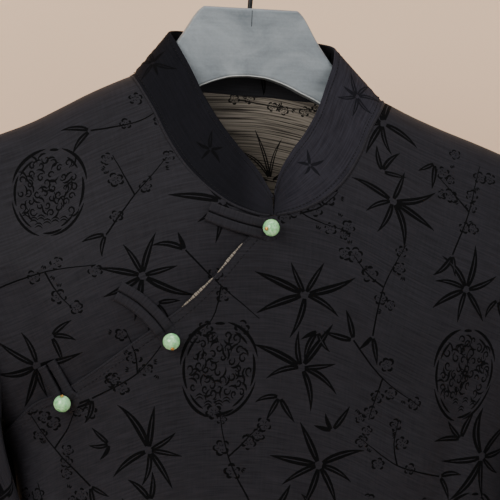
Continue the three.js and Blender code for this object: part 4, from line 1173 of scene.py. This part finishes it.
hem_line = hem_places(np.linspace(0.01, math.pi - 0.01, 160))
seams = [
    seam_on("placket_edge", front_surface, placket_places[1:-1], -0.5, 0.9, ground),
    seam_on("collar_seam", collar_surface, across_at(0.002), -0.2, 0.95, ground),
    # The collar's top edge and the side underlap take the collar's ground with its painted shade and painted
    # light.
    seam_on("collar_edge", collar_surface, across_at(0.995), -0.65, 0.8, painted_light_shade_collar_ground),
    seam_on("hem_front", front_surface, hem_line, -0.4, 1.1, ground),
    seam_on("hem_back", back_surface, hem_line, -0.4, 1.1, ground),
]
for side, sign in (("left", 1), ("right", -1)):
    surface = sleeve_surfaces[side]
    seams += [
        seam_on(f"armhole_seam_{side}", surface, across_at(0.0, -0.5, 0.494, 150), -0.75, 0.8, ground, True),
        seam_on(f"cuff_{side}", surface, across_at(0.998, -0.5, 0.494, 150), -0.4, 1.1, ground, True),
        seam_on(f"shoulder_seam_{side}", front_surface, shoulder_places(sign)[1:-1], -0.7, 0.75, ground),
        seam_on(f"side_seam_{side}", front_surface, side_places(0.0 if sign > 0 else math.pi),
                -0.75, 0.75, ground),
    ]

# %% [markdown]
# Below the wearer's right underarm the side opening's underlap stands a little out of the side seam, in shadow.
# Its colour is painted shade: the dark side of the collar's ground.

# %% Underlap at the side
def side_underlap():
    path, up = path_on(front_surface, side_places(math.pi), -0.4)
    path = path + (0, 0.8, 0)
    fade_in = np.clip((-336 - path[:, 2]) / 12, 0, 1)
    fade_out = np.clip((path[:, 2] + 440) / 50, 0, 1)
    stands = np.maximum(fade_in * fade_out, 0.12)
    section = np.array([(-0.35, -0.6), (0.35, -0.6), (0.3, 6.2), (-0.3, 6.2)])
    return sweep("side_underlap", path, up, section, painted_light_shade_collar_ground, size=stands)


seams.append(side_underlap())

# %% [markdown]
# Between the buttons the placket stands open a little and shows two slivers of its paler facing.

# %% Facing in the placket
def facing_sliver(name, first, last, width):
    line = placket[(placket[:, 0] < first) & (placket[:, 0] > last)]
    ahead = unit(np.gradient(line, axis=0))
    line = line + np.stack([ahead[:, 1], -ahead[:, 0]], -1) * 0.9
    path, up = path_on(front_surface, places(*place_of(line[:, 0], line[:, 1])), 0.1)
    section = np.array([(-1, -0.5), (1, -0.5), (0.9, 0.15), (0, 0.35), (-0.9, 0.15)]) * (width / 2, 0.6)
    t = np.linspace(0, 1, len(line))
    swell = np.sin(0.08 + 2.98 * t) ** 0.7 * (1 + 0.35 * np.sin(19 * t) * np.sin(7 * t))
    return sweep(name, path, up, section, reverse, size=swell)


slivers = [facing_sliver("facing_upper", -14, -31, 1.7), facing_sliver("facing_lower", -32, -52, 1.9)]

# %% [markdown]
# Rows of stitches follow the placket, the collar's edges, the hem and the cuffs. A node group sets one small
# bead of thread at even steps along a line, each a little different in length.

# %% Stitches
def stitch_group():
    group = bpy.data.node_groups.new("stitch row", "GeometryNodeTree")
    for name, kind, value in (
        ("Geometry", "NodeSocketGeometry", None), ("Spacing", "NodeSocketFloat", 0.003),
        ("Length", "NodeSocketFloat", 0.0019), ("Thickness", "NodeSocketFloat", 0.0005),
        ("Seed", "NodeSocketInt", 4), ("Material", "NodeSocketMaterial", None),
    ):
        socket = group.interface.new_socket(name, in_out="INPUT", socket_type=kind)
        if value is not None:
            socket.default_value = value
    group.interface.new_socket("Geometry", in_out="OUTPUT", socket_type="NodeSocketGeometry")

    def add(kind, links=None, **settings):
        node = group.nodes.new(kind)
        for key, value in settings.items():
            setattr(node, key, value)
        for key, value in (links or {}).items():
            if hasattr(value, "is_output"):
                group.links.new(value, node.inputs[key])
            else:
                node.inputs[key].default_value = value
        return node

    given = add("NodeGroupInput").outputs
    curve = add("GeometryNodeMeshToCurve", {"Mesh": given["Geometry"]})
    even = add("GeometryNodeResampleCurve", {"Curve": curve.outputs[0], "Length": given["Spacing"]},
               mode="LENGTH")
    vary = add("FunctionNodeRandomValue", {2: 0.42, 3: 0.55, "Seed": given["Seed"]}, data_type="FLOAT")
    long = add("ShaderNodeMath", {0: given["Length"], 1: vary.outputs[1]}, operation="MULTIPLY")
    half = add("ShaderNodeMath", {0: given["Thickness"], 1: 0.5}, operation="MULTIPLY")
    size = add("ShaderNodeCombineXYZ", {0: long.outputs[0], 1: half.outputs[0], 2: half.outputs[0]})
    ahead = add("GeometryNodeInputTangent")
    turned = add("FunctionNodeAlignRotationToVector", {"Vector": ahead.outputs[0]}, axis="X")
    grain = add("GeometryNodeMeshIcoSphere", {"Radius": 1.0, "Subdivisions": 2})
    shaded = add("GeometryNodeSetShadeSmooth", {0: grain.outputs[0]})
    laid_out = add("GeometryNodeInstanceOnPoints", {
        "Points": even.outputs[0], "Instance": shaded.outputs[0], "Rotation": turned.outputs[0],
        "Scale": size.outputs[0]})
    real = add("GeometryNodeRealizeInstances", {0: laid_out.outputs[0]})
    dressed = add("GeometryNodeSetMaterial", {"Geometry": real.outputs[0], "Material": given["Material"]})
    add("NodeGroupOutput", {0: dressed.outputs[0]})
    return group


STITCHES = stitch_group()


def stitch_row(name, surface, uv, height=0.15, **sizes):
    path, _ = path_on(surface, uv, height)
    line = bpy.data.meshes.new(name + "_line")
    line.from_pydata((path / 1000).tolist(), [(i, i + 1) for i in range(len(path) - 1)], [])
    guide = linked(name + "_line", line)
    modifier = guide.modifiers.new("stitches", "NODES")
    modifier.node_group = STITCHES
    for item in STITCHES.interface.items_tree:
        if item.in_out == "INPUT" and item.name in {**sizes, "Material": thread}:
            modifier[item.identifier] = {**sizes, "Material": thread}[item.name]
    bpy.context.view_layer.update()
    ready = guide.evaluated_get(bpy.context.evaluated_depsgraph_get())
    mesh = bpy.data.meshes.new_from_object(ready)
    bpy.data.objects.remove(guide)
    piece = linked(name, mesh)
    print(name, len(mesh.polygons), "faces")
    return piece


beside = placket + np.stack([-tangent[:, 1], tangent[:, 0]], -1) * 4.5
around_hem = hem_places(np.linspace(0.02, math.pi - 0.02, 160)) - (0, 20)
rows = [
    stitch_row("stitches_placket", front_surface, places(*place_of(beside[4:-6, 0], beside[4:-6, 1]))),
    stitch_row("stitches_collar_low", collar_surface, across_at(0.10), 0.1, Spacing=0.0026),
    stitch_row("stitches_collar_top", collar_surface, across_at(0.92), 0.1, Spacing=0.0026),
    stitch_row("stitches_hem_front", front_surface, around_hem),
    stitch_row("stitches_hem_back", back_surface, around_hem),
]
rows += [
    stitch_row(f"stitches_cuff_{side}", surface, across_at(0.95, -0.5, 0.5, 160))
    for side, surface in sleeve_surfaces.items()
]

# %% [markdown]
# The button loops: one flat band each, laid out to the bead, round it and back beside itself.

# %% Button loops
BUTTONS = [
    ("neck", (1.5, -203.5), (-37, -193.5), (-17, -201), (-0.62, 0.78, -0.12)),
    ("chest", (-57, -274.5), (-91, -245), (-73, -252), (0.05, 0.7, -0.7)),
    ("side", (-118.5, -314.5), (-132, -292), (-126, -301), (-0.1, 0.55, 0.8)),
]
LOOP_BAND, LOOP_THICK, LOOP_EYE = 6.2, 2.4, 4.7


def cloth_height(x, z):
    """How far the top layer of cloth stands above the smooth front at a place."""
    inside = inside_flap(x, z)
    under = -FLAP_DIP * smooth_step(-18, -2, inside)
    return np.where(inside < 0, edge_lift(x, z), under)


def bezier(points, t):
    a, b, c = (np.asarray(p, float) for p in points)
    t = np.asarray(t)[:, None]
    return a * (1 - t) ** 2 + 2 * b * t * (1 - t) + c * t**2


def loop_piece(name, bead, end, bend):
    fine = bezier((end, bend, bead), np.linspace(0, 1, 200))
    walked = np.r_[0, np.cumsum(np.linalg.norm(np.diff(fine, axis=0), axis=1))]
    length = walked[-1]

    def pass_points(side):
        at = np.array([0, 0.35, 0.7, 1]) * (length - LOOP_EYE - 4)
        point = np.stack([np.interp(at, walked, fine[:, k]) for k in (0, 1)], -1)
        ahead = np.stack([np.interp(at, walked, unit(np.gradient(fine, axis=0))[:, k]) for k in (0, 1)], -1)
        return point + unit(np.stack([-ahead[:, 1], ahead[:, 0]], -1)) * side * (LOOP_BAND / 2 + 0.2)

    heading = math.atan2(bead[1] - bend[1], bead[0] - bend[0])
    angles = heading + np.radians([130, 90, 45, 0, -45, -90, -130])
    eye = np.array(bead) + LOOP_EYE * np.stack([np.cos(angles), np.sin(angles)], -1)
    line = spline([*pass_points(1), *eye, *pass_points(-1)[::-1]], 90)
    ahead = unit(np.gradient(line, axis=0))
    beside = np.stack([-ahead[:, 1], ahead[:, 0]], -1)
    heights = [
        cloth_height(*(line + beside * across + ahead * along).T)
        for across in (-3, 0, 3) for along in (-4, -2, 0, 2, 4)
    ]
    lift = np.max(heights, axis=0)
    kernel = np.ones(9) / 9
    lift = np.maximum(np.convolve(np.pad(lift, 4, mode="edge"), kernel, mode="valid"), lift)
    uv = places(*place_of(line[:, 0], line[:, 1]))
    smooth = Surface(lambda u, v: cloth_point("front", u, v), 1, CLOTH_SCALE)
    normal = smooth.normal(uv)
    path = smooth.point(uv) + normal * (lift + 0.4)[:, None]
    half, thick = LOOP_BAND / 2, LOOP_THICK
    section = [
        (-0.8 * half, 0), (0.8 * half, 0), (half, 0.25 * thick), (0.97 * half, 0.62 * thick),
        (0.78 * half, 0.9 * thick), (0.45 * half, 0.98 * thick), (0, 0.86 * thick),
        (-0.45 * half, 0.98 * thick), (-0.78 * half, 0.9 * thick), (-0.97 * half, 0.62 * thick),
        (-half, 0.25 * thick),
    ]
    return sweep(f"loop_{name}_cloth", path, normal, section, ground)


loops = {name: loop_piece(name, bead, end, bend) for name, bead, end, bend, _ in BUTTONS}


# %% [markdown]
# Each bead is a jade ball, a little flattened and dimpled where the pin goes through it.

# %% Beads and pins
BEAD_RADIUS = 0.00535


def bead_piece(name):
    low, high = (np.array(corner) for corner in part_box(f"bead_{name}"))
    pin_low, pin_high = (np.array(corner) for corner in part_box(f"pin_{name}"))
    centre = (low + high) / 2
    work = bmesh.new()
    bmesh.ops.create_uvsphere(work, u_segments=56, v_segments=36, radius=BEAD_RADIUS)
    axis = Vector((0, 0, 1))
    toward = Vector(((pin_low + pin_high) / 2 - centre).tolist())
    turn = axis.rotation_difference(toward.normalized() if toward.length > 1e-5 else axis)
    for vertex in work.verts:
        off = math.hypot(vertex.co.x, vertex.co.y) / BEAD_RADIUS
        dimple = 0.10 * math.exp(-((off / 0.16) ** 2))
        vertex.co *= 1 - dimple
        vertex.co.z *= 0.97
        vertex.co = turn @ vertex.co + Vector(centre.tolist())
    for face in work.faces:
        face.smooth = True
    mesh = bpy.data.meshes.new(f"bead_{name}_jade")
    work.to_mesh(mesh)
    work.free()
    mesh.materials.append(jade)
    return linked(f"bead_{name}_jade", mesh)


beads = {name: bead_piece(name) for name, *_ in BUTTONS}
for name, *_ in BUTTONS:
    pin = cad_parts[f"pin_{name}"]
    pin.data.materials.clear()
    pin.data.materials.append(gold)
    pin.data.polygons.foreach_set("use_smooth", np.ones(len(pin.data.polygons), bool))

# %% [markdown]
# The hanger: a flat body with rounded edges, lofted along its length, and a wire hook.

# %% Hanger and hook
HANGER = np.array([
    (0, -60, -104.3, 2.5), (10, -60, -105, 2.5), (20, -60, -107.5, 2.5), (30, -60, -111.5, 2.5),
    (32.5, -61.5, -112.8, 2.5), (45, -80.5, -118.5, 3), (53.5, -92, -123.5, 3.5), (62, -101.5, -128.5, 4.5),
    (76.5, -110.8, -137, 5), (90.5, -118.9, -145, 5), (104, -125.2, -153, 5), (118, -132.2, -160, 5),
    (139, -143.8, -171, 5), (158, -151.8, -180, 5), (168, -156.5, -184, 5), (172, -160.5, -182, 5),
    (174, -164, -178, 4),
])


def loft(name, rings, material):
    count, sides = rings.shape[:2]
    faces = [
        (k * sides + i, k * sides + (i + 1) % sides, (k + 1) * sides + (i + 1) % sides, (k + 1) * sides + i)
        for k in range(count - 1) for i in range(sides)
    ]
    faces += [tuple(range(sides)), tuple(range((count - 1) * sides, count * sides))[::-1]]
    work = bmesh.new()
    points = [work.verts.new(p) for p in (rings.reshape(-1, 3) / 1000).tolist()]
    for face in faces:
        work.faces.new([points[i] for i in face])
    bmesh.ops.recalc_face_normals(work, faces=work.faces)
    for face in work.faces:
        face.smooth = len(face.verts) == 4
    mesh = bpy.data.meshes.new(name)
    work.to_mesh(mesh)
    work.free()
    mesh.materials.append(material)
    return linked(name, mesh)


def hanger_piece():
    xs = np.unique(np.r_[np.linspace(0, 172, 130), 30, 31.2, 32.5, 172.8, 173.5, 174])
    top, low, corner = (smooth_table(HANGER, k)(xs) for k in (1, 2, 3))
    rings = []
    for x, t, w, c in zip(xs, top, low, corner):
        ring = []
        for y_sign, z_sign, start in ((1, 1, 0), (-1, 1, 90), (-1, -1, 180), (1, -1, 270)):
            for angle in np.radians(start + np.linspace(0, 90, 8)):
                y = y_sign * (6 - c) + c * math.cos(angle)
                z = (t - c if z_sign > 0 else w + c) + c * math.sin(angle)
                ring.append((x, y, z))
        rings.append(ring)
    rings = np.array(rings)
    mirrored = (rings * (-1, 1, 1))[::-1][:-1]
    return loft("hanger_body", np.concatenate([mirrored, rings]), hanger_grey)


def hook_piece():
    angles = np.radians(-30 + 235 * np.linspace(0, 1, 10))
    bow = np.stack([21.6 * np.cos(angles), np.zeros(10), -20 + 21.6 * np.sin(angles)], -1)
    shank = [(0, 0, -70), (0, 0, -56), (1.5, 0, -46), (9, 0, -37)]
    path = spline([*shank, *bow], 160)
    up = np.tile([0, 1.0, 0], (160, 1))
    taper = np.minimum(1, np.linspace(0, 12, 160)[::-1] + 0.35)
    return sweep("hook_wire", path, up, round_section(1.6, 20), hook_black, size=np.sqrt(taper))


def low_edge():
    """A thin bevel along the front of the hanger's lower edge, coloured light as a painted highlight, and a thin
    line above it coloured dark as painted shade.
    """
    xs = np.linspace(-160, 160, 240)
    low = smooth_table(HANGER, 2)(np.abs(xs))
    path = np.stack([xs, np.full(240, -4.9), low + 0.75], -1)
    up = np.tile([0, -0.7, -0.7], (240, 1))
    rim = path + (0, -0.35, 1.9)
    return [
        sweep("hanger_painted_highlight", path, up, round_section(0.55, 8), painted_highlight_grey),
        sweep("hanger_painted_shade_line", rim, up, round_section(0.5, 8), painted_shade_grey),
    ]


def notch():
    """The fine line down the front of the hanger's neck, below the hook."""
    path = np.array([(0.6, -5.95, -61.5), (0.6, -5.98, -66), (0.6, -5.95, -72)])
    return sweep("hanger_notch", path, np.tile([0, -1.0, 0], (3, 1)), round_section(0.22, 6), hook_black)


hanger_trim = low_edge() + [notch()]
hanger = hanger_piece()
hook = hook_piece()
print("hanger", len(hanger.data.polygons), "hook", len(hook.data.polygons))

# %% [markdown]
# Every piece rides on the one body and stands for its node of the frame.

# %% Riding and sheets
STANDS_FOR = [
    (front_main, "front_main", "cloth"), (front_under, "front_under", "cloth"), (back, "back", "cloth"),
    (sleeves["left"], "sleeve_left", "cloth"), (sleeves["right"], "sleeve_right", "cloth"),
    (collar, "collar", "cloth"), (hanger, "hanger", "hanger"), (hook, "hanger_hook", "hook"),
    *[(loops[name], f"loop_{name}", "cloth") for name in loops],
    *[(beads[name], f"bead_{name}", "jade") for name in beads],
]
for piece, node, slot in STANDS_FOR:
    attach(piece, "root")
    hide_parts(node)
for piece in seams + slivers + rows:
    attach(piece, "root")
for piece in hanger_trim:
    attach(piece, "root")

SHEETS = [
    (front_main, (0.38, 0.59)), (front_under, (0.23, 0.24)), (back, (0.39, 0.60)),
    (sleeves["left"], (0.36, 0.40)), (sleeves["right"], (0.36, 0.40)), (collar, (0.40, 0.04)),
]
for piece, flat in SHEETS:
    area = min(piece["area"], flat[0] * flat[1])

# %% [markdown]
# The photograph's view: a long lens a little to the left of the front, turned by two degrees.

# %% Camera
YAW, ROLL, DISTANCE = math.radians(9), math.radians(2.2), 1.4
target = Vector((0.0061, 0, -0.2165))
back_way = Vector((-math.sin(YAW), -math.cos(YAW), 0))
right = Vector((0, 0, 1)).cross(back_way).normalized()
upward = back_way.cross(right)
turned_right = right * math.cos(ROLL) + upward * math.sin(ROLL)
turned_up = upward * math.cos(ROLL) - right * math.sin(ROLL)
camera_data = bpy.data.cameras.new("camera")
camera_data.angle = 2 * math.atan(0.1625 / DISTANCE)
camera = linked("camera", camera_data)
scene.camera = camera
turned = Matrix((turned_right, turned_up, back_way)).transposed()
camera.matrix_world = Matrix.Translation(target + back_way * DISTANCE) @ turned.to_4x4()


# %% [markdown]
# A warm plain wall behind, a pale floor below, and soft light from the front and above.

# %% Wall, floor and light
def stage_plane(name, corners, colour):
    s = Shader(name)
    soft = s.noise(s.place((3, 3, 3)), 1.0, 2.0)
    tone = s.mix(soft.ramp(0.3, 0.7), [c * 0.97 for c in colour[:3]] + [1], colour)
    s.finish(Base_Color=tone, Roughness=0.9, Specular_IOR_Level=0.1)
    behind = s.node("ShaderNodeNewGeometry", output="Backfacing")
    clear = s.node("ShaderNodeBsdfTransparent")
    shown = s.node("ShaderNodeMixShader", {0: behind, 2: clear})
    s.tree.links.new(s.surface.outputs[0], shown.socket.node.inputs[1])
    s.tree.links.new(shown.socket, s.tree.nodes["Material Output"].inputs["Surface"])
    mesh = bpy.data.meshes.new(name)
    mesh.from_pydata(corners, [], [(0, 1, 2, 3)])
    mesh.materials.append(s.material)
    linked(name, mesh)


stage_plane("wall", [(-3, 0.28, -1.2), (3, 0.28, -1.2), (3, 0.28, 2), (-3, 0.28, 2)], rgb(255, 218, 185))
stage_plane("floor", [(-3, 0.28, -1.2), (-3, -4, -1.2), (3, -4, -1.2), (3, 0.28, -1.2)], rgb(222, 212, 202))


def area_light(name, place, aim, size, power, colour):
    data = bpy.data.lights.new(name, "AREA")
    data.shape, data.size, data.energy, data.color = "DISK", size, power, colour
    lamp = bpy.data.objects.new(name, data)
    lamp.location = place
    lamp.rotation_euler = (Vector(aim) - Vector(place)).to_track_quat("-Z", "Y").to_euler()
    scene.collection.objects.link(lamp)


area_light("key", (-1.2, -1.45, 0.35), (0, 0, -0.28), 1.2, 29, (1, 0.98, 0.95))
area_light("fill", (1.4, -1.6, 0.1), (0, 0, -0.3), 1.6, 12, (0.97, 0.98, 1))
area_light("top", (0.1, -0.3, 1.5), (0, 0.1, -0.2), 1.2, 14, (1, 0.99, 0.97))
area_light("back", (0.7, 1.9, 0.5), (0, 0, -0.35), 1.4, 14, (1, 0.98, 0.96))
world = bpy.data.worlds.new("world")
world.use_nodes = True
world.node_tree.nodes["Background"].inputs[0].default_value = (0.9, 0.88, 0.86, 1)
world.node_tree.nodes["Background"].inputs[1].default_value = 0.45
scene.world = world
